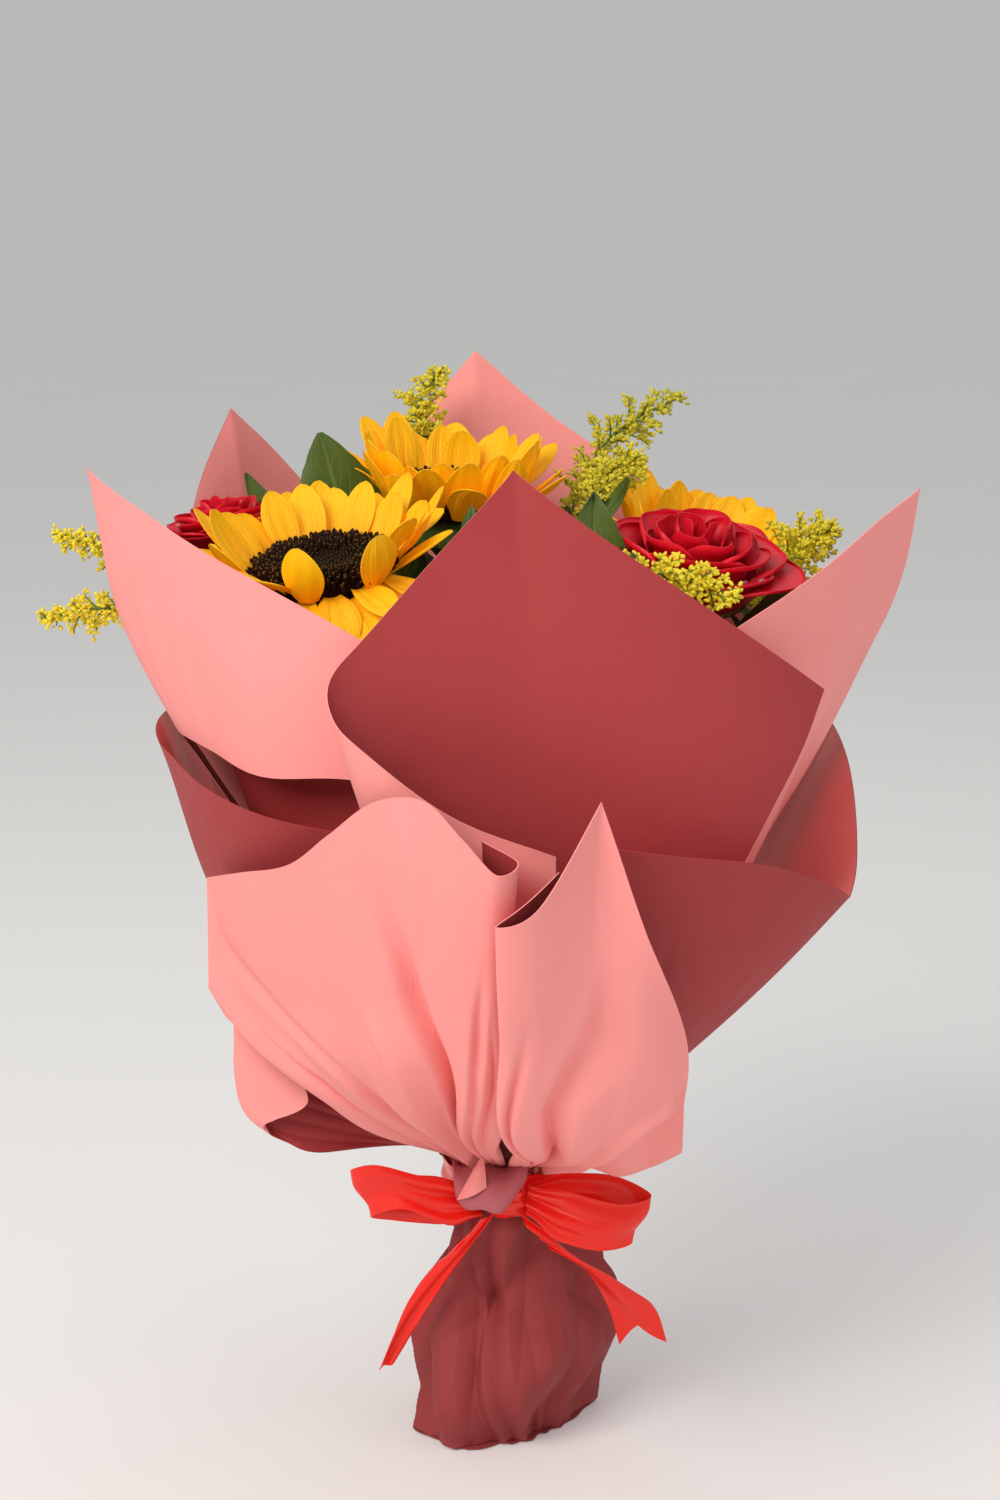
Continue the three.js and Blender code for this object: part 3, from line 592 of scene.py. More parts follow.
def in_head(ring, place):
    """Places above the neck: azimuth, share of the spread, and share of the head's rise."""
    place = np.asarray(place, float)
    return around(place[..., 0], ring + place[..., 1] * SPREAD, NECK_HEIGHT + place[..., 2] * HEAD_RISE)


def normals_of(points):
    """The direction that a grid faces at each of its points."""
    across = np.gradient(points, axis=1)
    along = np.gradient(points, axis=0)
    return unit(np.cross(across, along))


def ripple(points, wavelength, seed, waves=7):
    """Smooth noise from -1 to 1 over places in space: a sum of waves in random directions."""
    rng = np.random.default_rng(seed)
    total = 0
    for _ in range(waves):
        direction = unit(rng.normal(size=3)) * 2 * math.pi / (wavelength * rng.uniform(0.7, 1.5))
        total = total + np.sin(points @ direction + rng.uniform(0, 2 * math.pi))
    return total / math.sqrt(waves * 2)


def gathers(across, edges, depths, sharp=0.0):
    """Gathers between sharp valleys at the edges, rounded or sharp; each cell has its own depth."""
    cell = np.clip(np.searchsorted(edges, across, side="right") - 1, 0, len(edges) - 2)
    share = (across - edges[cell]) / np.maximum(edges[cell + 1] - edges[cell], 1e-6)
    share = np.clip(share, 0, 1)
    arch = np.sin(np.pi * share) ** 0.75 * (1 - sharp) + (1 - np.abs(2 * share - 1)) * sharp
    return arch * depths[cell]


def softened(relief, times=1):
    """Rounds off sharp steps from one grid point to the next, so that paper doesn't cut through itself."""
    for _ in range(times):
        wide = np.pad(relief, ((1, 1), (1, 1)), mode="edge")
        relief = (wide[1:-1, :-2] + 2 * wide[1:-1, 1:-1] + wide[1:-1, 2:]) / 4
        wide = np.pad(relief, ((1, 1), (1, 1)), mode="edge")
        relief = (wide[:-2, 1:-1] + 2 * wide[1:-1, 1:-1] + wide[2:, 1:-1]) / 4
    return relief


def double_sided(heap, middle, thickness, outer=0, inner=0, rim=0):
    """Two faces half a thickness on each side of a grid, joined by a rim."""
    lift = normals_of(middle) * thickness / 2
    front, back = middle + lift, middle - lift
    heap.grid(front, outer)
    heap.grid(back, inner, flip=True)
    for near, far in (
        (front[0], back[0]),
        (front[:, -1], back[:, -1]),
        (front[-1, ::-1], back[-1, ::-1]),
        (front[::-1, 0], back[::-1, 0]),
    ):
        heap.grid(np.stack([far, near]), rim)


def frames_along(path):
    """Tangents and two steady side directions along a path."""
    tangent = unit(np.gradient(path, axis=0))
    side = np.empty_like(path)
    start = np.cross(tangent[0], (0, 0, 1.0))
    side[0] = unit(start if np.linalg.norm(start) > 1e-3 else np.array([1.0, 0, 0]))
    for i in range(1, len(path)):
        side[i] = unit(side[i - 1] - tangent[i] * (side[i - 1] @ tangent[i]))
    return tangent, side, np.cross(tangent, side)


def tube(heap, path, radii, sides, finish_at=0):
    """A round stalk along a path, closed at both ends."""
    path = np.asarray(path, float)
    radii = np.broadcast_to(radii, len(path)).astype(float)
    _, side, other = frames_along(path)
    angle = np.linspace(0, 2 * math.pi, sides, endpoint=False)
    ring = np.cos(angle)[:, None, None] * side + np.sin(angle)[:, None, None] * other
    rows = path[:, None] + ring.transpose(1, 0, 2) * radii[:, None, None]
    ends = [np.repeat(path[i][None, None], sides, axis=1) for i in (0, -1)]
    heap.grid(np.concatenate([ends[0], rows, ends[1]]), finish_at, wrap=True)


def facing_frame(facing):
    """The turn that takes +Z to the facing direction, as columns."""
    return np.array(Vector((0, 0, 1)).rotation_difference(Vector(facing)).to_matrix())


def head_pose(at, lean, towards):
    """Where a head's middle is, and the direction that it faces."""
    tilt = math.radians(lean)
    return in_head(SHEET_RADIUS, at), around(towards, math.sin(tilt), math.cos(tilt))


def bud(radius, height, sides=5):
    """A small closed bud along +Z, as a round grid."""
    angle = np.linspace(0, 2 * math.pi, sides, endpoint=False)
    profile = np.array([(0.45, 0), (1.0, 0.4), (0.75, 0.85), (0.05, 1.0)])
    return about_axis(angle, profile[:, :1] * radius, profile[:, 1:] * height)


def turns_to(directions):
    """Turns that take +Z to each direction."""
    directions = unit(np.asarray(directions, float))
    helper = np.where(np.abs(directions[:, 2:]) < 0.9, (0, 0, 1.0), (1.0, 0, 0))
    side = unit(np.cross(helper, directions))
    return np.stack([side, np.cross(directions, side), directions], axis=-1)


# ---- The wrapping paper ----
# A point of a net is (azimuth, reach, rise). The rows run from low to high. The columns run from left to
# right as seen from outside, but the front sheet starts at its right edge and turns back in its roll.
NETS = {
    "back_sheet": (
        ((114, .42, .26), (139, .44, .32), (165, .43, .36), (187, .42, .38), (203, .42, .36),
         (219, .41, .32), (231, .38, .27)),
        ((112, .74, .6), (140, .74, .76), (169, .67, .9), (187, .64, 1.01), (198, .65, .92),
         (216, .65, .79), (230, .6, .62)),
    ),
    "back_left_sheet": (
        ((-166, .49, .26), (-156, .52, .33), (-143, .55, .38), (-130, .58, .4), (-122, .58, .37),
         (-116, .56, .28)),
        ((-165, .74, .6), (-152, .75, .74), (-137, .75, .87), (-126, .75, .94), (-118, .77, .82),
         (-112, .79, .62)),
    ),
    "left_sheet": (
        ((-112, 0, -.04), (-112, 0, .005), (-103, .4, .3), (-94, .645, .52), (-84, .65, .55),
         (-68, .61, .55), (-50, .6, .54), (-32, .56, .55), (-15, .49, .53)),
        ((-118, 0, -.04), (-118, 0, .005), (-108, .43, .31), (-99, .73, .58), (-88, .8, .72),
         (-70, .68, .7), (-50, .64, .67), (-32, .58, .65), (-15, .5, .6)),
        ((-124, 0, -.04), (-124, 0, .005), (-113, .46, .31), (-104, .8, .62), (-88, .865, .89),
         (-71, .72, .84), (-50, .64, .79), (-31, .57, .73), (-15, .5, .66)),
    ),
    "inner_left_sheet": (
        ((-95, .37, .27), (-79, .37, .28), (-62, .38, .3), (-46, .38, .3), (-30, .37, .28)),
        ((-99, .63, .56), (-80, .575, .58), (-62, .53, .6), (-45, .5, .6), (-28, .46, .58)),
    ),
    "front_sheet": (
        ((41, .5, .32), (28, .46, .32), (10, .42, .32), (-6, .43, .32), (-16, .47, .32),
         (-20, .54, .32), (-17, .58, .31), (-12, .6, .3), (-3, .6, .29), (5, .59, .28)),
        ((51, .655, .53), (31, .58, .55), (6, .51, .58), (-10, .53, .58), (-20, .58, .57),
         (-25, .665, .555), (-22, .715, .53), (-16, .75, .51), (-5, .755, .46), (6, .72, .42)),
        ((61, .68, .64), (34, .57, .77), (0, .45, .92), (-15, .53, .82), (-25.5, .62, .73),
         (-28.5, .7, .685), (-26, .75, .645), (-20, .78, .61), (-8, .78, .54), (6, .74, .49)),
    ),
    "right_sheet": (
        ((44, .36, .3), (54, .37, .3), (66, .37, .3), (78, .37, .3), (90, .37, .3),
         (101, .38, .29), (112, .39, .28)),
        ((40, .47, .52), (49, .5, .54), (63, .54, .55), (77, .59, .56), (89, .62, .57),
         (99, .62, .5), (108, .6, .43)),
        ((38, .5, .68), (46, .56, .72), (64, .64, .78), (77, .73, .83), (87, .83, .865),
         (97, .81, .72), (106, .74, .58)),
    ),
    "lower_right_sheet": (
        ((11, .44, .2), (24, .44, .2), (44, .43, .2), (70, .42, .2), (90, .42, .21),
         (110, .44, .23), (130, .46, .23)),
        ((10, .69, .5), (24, .7, .48), (43, .695, .445), (73, .68, .36), (90, .69, .41),
         (106, .72, .49), (130, .8, .56)),
    ),
    "lower_left_sheet": (
        ((-128, .56, .24), (-110, .54, .24), (-92, .5, .25), (-76, .48, .25), (-62, .46, .25),
         (-46, .44, .25), (-30, .43, .25)),
        ((-122, .82, .54), (-106, .76, .54), (-91, .71, .535), (-76, .67, .53), (-61, .655, .515),
         (-45, .645, .5), (-29, .6, .49)),
    ),
    "collar_left": (
        ((-47, .33, .065), (-44, .4, .11), (-47, .45, .15), (-40, .46, .15), (-33, .48, .16),
         (-26, .5, .16), (-18, .52, .17), (-11, .54, .17), (-7, .55, .16), (-4, .545, .16),
         (-3, .52, .16), (-6, .495, .16)),
        ((-55, .49, .15), (-57, .56, .185), (-59, .59, .27), (-48, .595, .28), (-36, .61, .29),
         (-26, .66, .3), (-18, .7, .32), (-11, .74, .33), (-6, .755, .32), (-3, .755, .31),
         (-1, .725, .31), (-4, .69, .32)),
        ((-64.8, .59, .21), (-65, .63, .25), (-64.5, .63, .395), (-48, .66, .43), (-35, .7, .46),
         (-26, .75, .51), (-18, .8, .56), (-11, .84, .57), (-6, .865, .53), (-2, .87, .49),
         (.5, .835, .5), (-4, .8, .52)),
    ),
    "collar_right": (
        ((6, .52, .14), (1, .53, .13), (-1, .565, .125), (4, .58, .125), (10, .575, .12),
         (17, .53, .1), (22, .46, .085), (25, .38, .06), (31, .31, .015)),
        ((6, .705, .32), (1, .755, .3), (-1.5, .79, .29), (3, .795, .3), (10.5, .755, .33),
         (18, .71, .25), (26, .61, .165), (29, .5, .115), (33, .43, .045)),
        ((5.5, .795, .485), (1, .86, .455), (-2, .9, .435), (3, .895, .455), (11, .8, .565),
         (17.5, .79, .4), (27, .68, .25), (32, .566, .148), (36, .5, .072)),
    ),
    "under_collar": (
        ((-64, .34, .012), (-64, .345, .041), (-65, .35, .074), (-67, .416, .121)),
        ((-62.5, .46, .045), (-66, .523, .077), (-66.5, .55, .123), (-67, .551, .195)),
        ((-62.9, .505, .063), (-60, .485, .074), (-56, .42, .1), (-61, .445, .15)),
    ),
}

OPENING = 0.005  # how far above the neck a sheet starts to spread, as a share of the head's rise
LOW_OPENING = -0.022  # the same for the sheets that fold down over the ribbon
# For each sheet: its layer at the neck, the azimuths that it is tied at, where it starts to spread, the
# columns where its top row turns sharply (corners) or the rows below it do (bends), the colour on the side
# that its net faces, and the number, depth and sharpness of its gathers. Their depth is a share of the pleat
# depth.
SHEETS = {
    "back_sheet": dict(layer=0, neck=(116, 230), corners=(3,), outer="dusky", gathers=14, depth=0.4),
    "back_left_sheet": dict(layer=1, neck=(-168, -127), corners=(3,), outer="dusky", gathers=8, depth=0.4),
    "left_sheet": dict(layer=2, bends=(1,), corners=(1, 4), outer="pink", gathers=0, depth=0),
    "inner_left_sheet": dict(layer=0, neck=(-104, -34), corners=(), outer="dusky", gathers=8, depth=0.3),
    "front_sheet": dict(
        layer=1,
        neck=(46, 32, 14, -4, -18, -25, -22, -14, -4, 4),
        neck_reach=(0, 0, 0, 0, 0, 0.006, 0.012, 0.012, 0.012, 0.012),
        corners=(2,),
        outer="pink",
        gathers=9,
        depth=0.15,
    ),
    "right_sheet": dict(layer=1, neck=(50, 114), corners=(4,), outer="pink", gathers=8, depth=0.3),
    "lower_right_sheet": dict(
        layer=3, opening=LOW_OPENING, neck=(12, 128), corners=(3,), outer="dusky", gathers=11, depth=0.5
    ),
    "lower_left_sheet": dict(
        layer=3, opening=LOW_OPENING, neck=(-132, -30), corners=(), outer="dusky", gathers=11, depth=0.5
    ),
    "collar_left": dict(
        layer=4,
        opening=LOW_OPENING,
        neck=(-54, -5),
        corners=(1, 2),
        outer="pink",
        gathers=5,
        depth=1.7,
        sharp=0.6,
    ),
    "collar_right": dict(
        layer=5,
        opening=LOW_OPENING,
        neck=(-3, 46),
        corners=(4, 7),
        outer="pink",
        gathers=5,
        depth=1.5,
        sharp=0.6,
    ),
    "under_collar": dict(
        layer=5, opening=LOW_OPENING, neck=(-92, -57), corners=(), outer="dusky", gathers=5, depth=0.4
    ),
}
# The sheets whose dusky face is the one seen from the front
DUSKY_SHEETS = ("inner_left_sheet", "front_sheet", "lower_right_sheet", "lower_left_sheet", "under_collar")
# Folds that are sharper than the gathers. Each runs up the sheet through (along, across) points. It has a
# half width, as a share of the sheet, and a depth in metres, below 0 for a valley.
FOLDS = {
    "collar_left": (
        (((0.10, 0.66), (0.35, 0.64), (0.61, 0.604), (0.80, 0.562), (0.95, 0.50)), 0.042, -0.0125),
        (((0.10, 0.59), (0.35, 0.56), (0.61, 0.52), (0.80, 0.47)), 0.060, 0.0060),
        (((0.10, 0.74), (0.35, 0.72), (0.59, 0.721), (0.86, 0.792)), 0.045, -0.0040),
        (((0.12, 0.42), (0.50, 0.36), (0.78, 0.20), (0.97, 0.10)), 0.060, -0.0045),
        (((0.12, 0.30), (0.50, 0.24), (0.70, 0.13)), 0.050, 0.0030),
        (((0.80, 0.60), (0.90, 0.61), (1.0, 0.58)), 0.050, 0.0020),
    ),
    "collar_right": (
        (((0.08, 0.34), (0.50, 0.27), (0.64, 0.312), (0.79, 0.357)), 0.032, -0.0060),
        (((0.08, 0.44), (0.40, 0.42), (0.57, 0.43), (0.70, 0.527), (0.84, 0.55)), 0.095, -0.0085),
        (((0.10, 0.58), (0.41, 0.58), (0.59, 0.70), (0.97, 0.86)), 0.055, 0.0055),
        (((0.10, 0.68), (0.41, 0.68), (0.62, 0.77), (0.90, 0.90)), 0.045, -0.0035),
    ),
    "lower_right_sheet": (
        (((0.3, 0.24), (0.9, 0.20)), 0.02, -0.003),
        (((0.3, 0.40), (0.8, 0.42)), 0.03, -0.003),
    ),
    "lower_left_sheet": ((((0.3, 0.56), (0.9, 0.55)), 0.03, -0.003),),
    "left_sheet": (
        (((0.05, 0.50), (0.5, 0.54), (0.75, 0.60)), 0.030, -0.0030),
        (((0.05, 0.60), (0.5, 0.62), (0.70, 0.64)), 0.020, 0.0020),
    ),
}
FINE = 18  # grid steps between two points of a net


def sheet_surface(net, info):
    """The sheet's middle surface as a grid of places, with its across and along shares."""
    rows = [np.array(row, float) for row in net]
    cols = len(rows[0])
    neck = info.get("neck")
    if neck:
        azimuths = np.array(neck, float) if len(neck) > 2 else np.linspace(neck[0], neck[1], cols)
        reach = np.array(info.get("neck_reach", (0,) * cols), float)
        rises = (-SHEET_TUCK, info.get("opening", OPENING))
        low = [np.stack([azimuths, reach, np.full(cols, rise)], axis=-1) for rise in rises]
        rows = low + rows
    u = np.linspace(0, 1, (cols - 1) * FINE + 1)
    v = np.linspace(0, 1, (len(rows) - 1) * FINE + 1)
    bends = info.get("bends", ())
    net_rows = np.stack(
        [through(row, u, info["corners"] if i == len(rows) - 1 else bends) for i, row in enumerate(rows)]
    )
    polar = through(net_rows, v, (1,) if neck else ())
    across, along = np.meshgrid(u, v)
    return in_head(SHEET_RADIUS + info["layer"] * LAYER_STEP, polar), across, along, 1 / (len(rows) - 1)


def fold_depth(across, along, fold):
    """A crease along its points, steep on one side, narrow near the neck, which fades at both ends."""
    points, half, depth = fold
    low, high = points[0][0], points[-1][0]
    centre = np.interp(along, [at for at, _ in points], [place for _, place in points])
    share = np.clip((along - low) / (high - low), 0, 1)
    aside = (across - centre) / (half * (0.55 + 0.6 * share))
    profile = np.clip(1 - np.where(aside < 0, -2.6 * aside, aside), 0, 1) ** 1.15
    return depth * profile * smooth(0, 0.18, share) * (1 - smooth(0.72, 1.0, share))


def sheet_relief(name, place, across, along, neck_at, info, depth):
    """How far the paper stands off its smooth surface: gathers at the neck, folds and a faint wave."""
    rng = np.random.default_rng(sum(map(ord, name)))
    relief = ripple(place, 0.11, len(name), 5) * 0.0010 * smooth(neck_at, 0.7, along)
    if info["gathers"]:
        edges = np.linspace(0, 1, info["gathers"] + 1)
        edges[1:-1] += rng.uniform(-0.28, 0.28, info["gathers"] - 1) / info["gathers"]
        depths = rng.uniform(0.4, 1.0, info["gathers"])
        drift = 0.012 * np.sin(along * 9 + len(name))
        reach = smooth(neck_at, neck_at + 0.2, along) * (1 - smooth(neck_at + 0.15, 0.86, along))
        tight = 0.12 * smooth(0, neck_at, along) * (1 - smooth(neck_at, neck_at + 0.2, along))
        folds = gathers(np.clip(across + drift * reach, 0, 1), edges, depths, info.get("sharp", 0.0))
        relief = relief + folds * depth * info["depth"] * (reach + tight)
    for fold in FOLDS.get(name, ()):
        relief = relief + fold_depth(across, along, fold)
    return softened(relief)


class BUNCH_OT_sheets(bpy.types.Operator):
    """Adds the sheets of wrapping paper"""

    bl_idname = "bunch.add_sheets"
    bl_label = "Add Paper Sheets"

    def execute(self, context):
        paper = context.scene.bunch_paper
        for name, info in SHEETS.items():
            place, across, along, neck_at = sheet_surface(NETS[name], info)
            relief = sheet_relief(name, place, across, along, neck_at, info, paper.pleat_depth)
            outwards = -1 if name == "front_sheet" else 1
            middle = place + normals_of(place) * (relief * outwards)[..., None]
            other = "dusky" if info["outer"] == "pink" else "pink"
            rim = "pink" if name == "front_sheet" else info["outer"]
            heap = Heap(info["outer"], other, rim)
            double_sided(heap, middle, paper.thickness, 0, 1, 2)
            slot = "paper_dusky" if name in DUSKY_SHEETS else "paper_pink"
            made = heap.piece(f"{name}_paper", name, slot)
        return {"FINISHED"}


# ---- The foot ----
# (share of the foot's radius, share of the ribbon's level) from the floor up to the flared edge
FOOT_PROFILE = (
    (0.2, 0.0), (0.96, 0.0), (1.0, 0.004), (1.02, 0.18), (0.99, 0.36), (0.89, 0.53), (0.76, 0.68),
    (0.655, 0.82), (0.615, 0.93), (0.61, 1.0), (0.63, 1.06), (0.665, 1.10),
)
# The outline of the floor, as shares of the foot's radius at even steps round it
FOOT_FLOOR = (0.96, 0.86, 0.66, 0.62, 0.86, 1.05, 0.98, 0.94, 0.93, 0.94, 1.0, 1.14)
# (y, z) of the lip, from the neck outwards and down
LIP_PATH = (
    (-0.031, 0.139), (-0.037, 0.1385), (-0.046, 0.134), (-0.0515, 0.1265), (-0.0505, 0.1195),
    (-0.0455, 0.1180),
)


def foot_surface(radius):
    """The gathered bag: radius and height along its profile, loose folds and crumples round it."""
    rows, cols = 200, 560
    v = np.linspace(0, 1, rows)
    profile = through(np.array(FOOT_PROFILE), v, (1, 2))
    angle = np.linspace(math.pi, 3 * math.pi, cols)
    azimuth, share = np.meshgrid(angle, v)
    height = np.repeat(profile[:, 1:] * RIBBON_LEVEL, cols, axis=1)
    base = np.repeat(profile[:, :1] * radius, cols, axis=1)
    turn = azimuth / (2 * math.pi) * len(FOOT_FLOOR)
    before = np.floor(turn).astype(int)
    floor = np.array(FOOT_FLOOR)
    step = smooth(0, 1, turn - before)
    outline = floor[before % len(floor)] * (1 - step) + floor[(before + 1) % len(floor)] * step
    low = 1 - smooth(0.002, 0.42 * RIBBON_LEVEL, height)
    base = base * (1 + (outline - 1) * low)

    rng = np.random.default_rng(5)
    loose = smooth(0.02, 0.14, share) * (1 - 0.75 * smooth(0.66, 0.84, share)) + 0.1
    around_share = azimuth / (2 * math.pi)
    relief = 0
    for count, depth, sway in ((7, 0.0095, 0.060), (12, 0.0050, 0.070)):
        edges = np.linspace(0, 1, count + 1)
        edges[1:-1] += rng.uniform(-0.32, 0.32, count - 1) / count
        wander = sway * np.sin(share * rng.uniform(4, 7) + 2 * math.pi * around_share * 2 + rng.uniform(0, 6))
        wander = wander * (1 - 0.7 * smooth(0.5, 0.9, share))
        depths = rng.uniform(0.3, 1.0, count)
        relief = relief + gathers((around_share + wander) % 1, edges, depths, 1.0) * depth
    place = around(np.degrees(azimuth), base, height)
    stretched = place * np.array([1, 1, 0.85])
    facets = sum(np.abs(ripple(stretched, 0.080, seed, 2)) for seed in (21, 22, 23, 24)) / 4
    small = np.abs(ripple(stretched, 0.042, 31, 2))
    crumple = facets * 0.0230 + small * 0.0030
    radius_now = base + (relief + crumple - 0.0215) * loose
    flare = smooth(0.90, 1.0, share)
    radius_now = radius_now + flare * 0.0022 * np.sin(7 * azimuth + 1)
    height = height + flare * 0.0025 * np.sin(5 * azimuth)
    height = np.where(share < 0.04, 0, height)
    return around(np.degrees(azimuth), radius_now, height)


def lip_surface():
    """The rolled lip of the foot's paper, which hangs forward over the knot."""
    u = np.linspace(0, 1, 60)
    v = np.linspace(0, 1, 40)
    path = through(np.array(LIP_PATH), v)
    across, along = np.meshgrid(u, v)
    x = -0.0285 + 0.037 * across
    bow = np.sin(np.pi * across) ** 0.6
    y = path[:, :1] * (0.80 + 0.20 * bow) - 0.0012 * np.sin(across * 9 + along * 3)
    droop = 0.012 * (1 - bow) * along + 0.0075 * across * along
    z = path[:, 1:] + droop - 0.0015 * np.sin(across * 12)
    return np.stack([x + 0.004 * along * (0.5 - across), y, z], axis=-1)


def tip_surface():
    """The pointed pink corner that sticks out above the lip."""
    low_left, low_right = np.array([(-0.026, -0.047, 0.127), (-0.012, -0.049, 0.134)])
    high_left, high_right = np.array([(-0.016, -0.047, 0.146), (-0.0135, -0.046, 0.1505)])
    u, v = np.meshgrid(np.linspace(0, 1, 14), np.linspace(0, 1, 20))
    across, along = u[..., None], v[..., None]
    low = low_left * (1 - across) + low_right * across
    high = high_left * (1 - across) + high_right * across
    flat = low * (1 - along) + high * along
    flat[..., 1] -= 0.0035 * np.sin(np.pi * u) * (1 - 0.5 * v)
    return flat


class BUNCH_OT_foot(bpy.types.Operator):
    """Adds the gathered paper foot, with its rolled lip"""

    bl_idname = "bunch.add_foot"
    bl_label = "Add Foot"

    def execute(self, context):
        paper = context.scene.bunch_paper
        heap = Heap("foot", "lip", "pink")
        double_sided(heap, foot_surface(paper.foot_radius), paper.thickness, 0, 0, 1)
        # The lip's inner face and edge take the lighter lilac painted highlight.
        double_sided(heap, lip_surface(), paper.thickness * 1.4, 0, 1, 1)
        double_sided(heap, tip_surface(), paper.thickness, 2, 2, 2)
        made = heap.piece("foot_wrap_paper", "foot_wrap", "foot_paper")
        return {"FINISHED"}


# ---- The ribbon ----
# Stations are (x, y, z, lean) in millimetres and degrees. y counts out from the front of the wrapped neck, and
# z up from the ribbon's level. The ribbon's width leans from upright towards +X.
BOW = {
    "ribbon_loop_left": (
        (-15.5, 4, -2, -6), (-36, 11, 2, -20), (-58, 14, 10, -30), (-72, 8, 4, -24),
        (-60, 2.2, 1, -16), (-38, 1.5, -1, -8), (-16, 1.5, -2, 0),
    ),
    "ribbon_loop_right": (
        (7.5, 1.5, 0, 0), (26, 1.5, 0, 12), (46, 3, -1, 18), (62, 9, -8, 22),
        (48, 14, -11, 22), (27, 11, -7, 14), (7.5, 4.5, 0, 4),
    ),
    "ribbon_tail_left": (
        (-15.5, 7.5, -12, 46), (-28, 10, -26, 60), (-42, 10, -46, 66), (-52, 6, -66, 62), (-60, 0, -86, 60),
    ),
    "ribbon_tail_right": (
        (10, 7.5, -14, -40), (28, 9, -26, -46), (46, 6, -40, -64), (58, -2, -58, -84), (64, -8, -78, -92),
    ),
}
# The width of a tail at its start and at its end, as shares of the ribbon's width
TAPER = {"ribbon_tail_left": (1.0, 0.4), "ribbon_tail_right": (1.1, 1.0)}


def ribbon_strip(name, width, face):
    """The middle surface of one loop or tail; face is how far in front of the axis the wrap's face lies."""
    stations = np.array(BOW[name], float)
    loop = "loop" in name
    u, v = np.linspace(0, 1, 120), np.linspace(0, 1, 25)
    centre = through(stations[:, :3] * 0.001, u)
    centre = np.stack([centre[:, 0], -(face + centre[:, 1]), RIBBON_LEVEL + centre[:, 2]], axis=-1)
    lean = np.radians(through(stations[:, 3:], u)[:, 0])
    side = np.stack([np.sin(lean), np.zeros_like(lean), np.cos(lean)], axis=-1)
    first, last = TAPER.get(name, (1, 1))
    share = first + (last - first) * u
    pinch = 1 - (0.45 * (1 - smooth(0.0, 0.16, u)) + 0.45 * smooth(0.84, 1.0, u) if loop else 0 * u)
    reach = ((v - 0.5) * width * (1.25 if loop else 1.15))[None, :, None] * (share * pinch)[:, None, None]
    if name == "ribbon_tail_right":
        notch = 1 - 0.13 * (1 - np.abs(2 * v - 1))
        grid_u = np.minimum(u[:, None] * notch[None], 1)
        centre = np.stack([through(centre, grid_u[:, j]) for j in range(len(v))], axis=1)
        side = np.stack([through(side, grid_u[:, j]) for j in range(len(v))], axis=1)
    else:
        centre, side = centre[:, None], side[:, None]
    middle = centre + unit(side) * reach
    along, across = np.meshgrid(u, v, indexing="ij")
    near = (1 - smooth(0.0, 0.4, along)) + (smooth(0.6, 1.0, along) if loop else 0)
    fold = np.sin(across * 17 + 1.5 * along) * 0.0016 * near + np.sin(across * 7 + along * 6) * 0.0012
    return middle + normals_of(middle) * fold[..., None]


class BUNCH_OT_ribbon(bpy.types.Operator):
    """Adds the satin ribbon round the neck and its bow"""

    bl_idname = "bunch.add_ribbon"
    bl_label = "Add Ribbon"

    def execute(self, context):
        ribbon = context.scene.bunch_ribbon
        half, thick = ribbon.width / 2, ribbon.thickness
        angle = np.linspace(0, 360, 240)
        azimuth, level = np.meshgrid(angle, np.linspace(-1, 1, 17))
        turn = np.radians(azimuth)
        pucker = 0.0006 * np.sin(level * 5 + turn * 3) + 0.0004 * np.sin(turn * 11)
        heap = Heap("satin")
        wrapped = around(azimuth, RIBBON_RADIUS + 0.0005 + pucker, RIBBON_LEVEL + level * half)
        double_sided(heap, wrapped, thick, 0, 0, 0)
        heap.piece("ribbon_wrap_satin", "ribbon_wrap", "red_satin")

        face = RIBBON_RADIUS + 0.0008
        for name in BOW:
            heap = Heap("satin")
            double_sided(heap, ribbon_strip(name, ribbon.width, face), thick, 0, 0, 0)
            heap.piece(f"{name}_satin", name, "red_satin")

        angle = np.linspace(0, 2 * math.pi, 64, endpoint=False)
        across, down = np.meshgrid(angle, np.linspace(0, math.pi, 40))
        swell = 1 + 0.10 * np.sin(down * 9 + 2 * np.cos(across)) * np.sin(down)
        x = -0.004 + 0.0100 * swell * np.sin(down) * np.cos(across)
        y = -(face + 0.0054) - 0.0050 * swell * np.sin(down) * np.sin(across)
        knot = np.stack([x, y, RIBBON_LEVEL - 0.0090 * np.cos(down)], axis=-1)
        heap = Heap("satin")
        heap.grid(knot, wrap=True)
        heap.piece("ribbon_knot_satin", "ribbon_knot", "red_satin")
        return {"FINISHED"}


TWINE_RADIUS = 0.0008
TWINE_INSET = 0.0009
TWINE_TURNS = 5


class BUNCH_OT_tie(bpy.types.Operator):
    """Adds the twine that ties the stems inside the neck"""

    bl_idname = "bunch.add_tie"
    bl_label = "Add Stem Tie"

    def execute(self, context):
        heap = Heap("twine")
        low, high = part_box("stem_tie")
        radius = (high.x - low.x) / 2 - TWINE_RADIUS
        angle = np.linspace(0, 2 * math.pi * TWINE_TURNS, 60 * TWINE_TURNS)
        level = low.z + TWINE_INSET + (high.z - low.z - 2 * TWINE_INSET) * angle / angle[-1]
        tube(heap, about_axis(angle, radius, level), TWINE_RADIUS, 6)
        heap.piece("stem_tie_twine", "stem_tie", "twine")
        return {"FINISHED"}


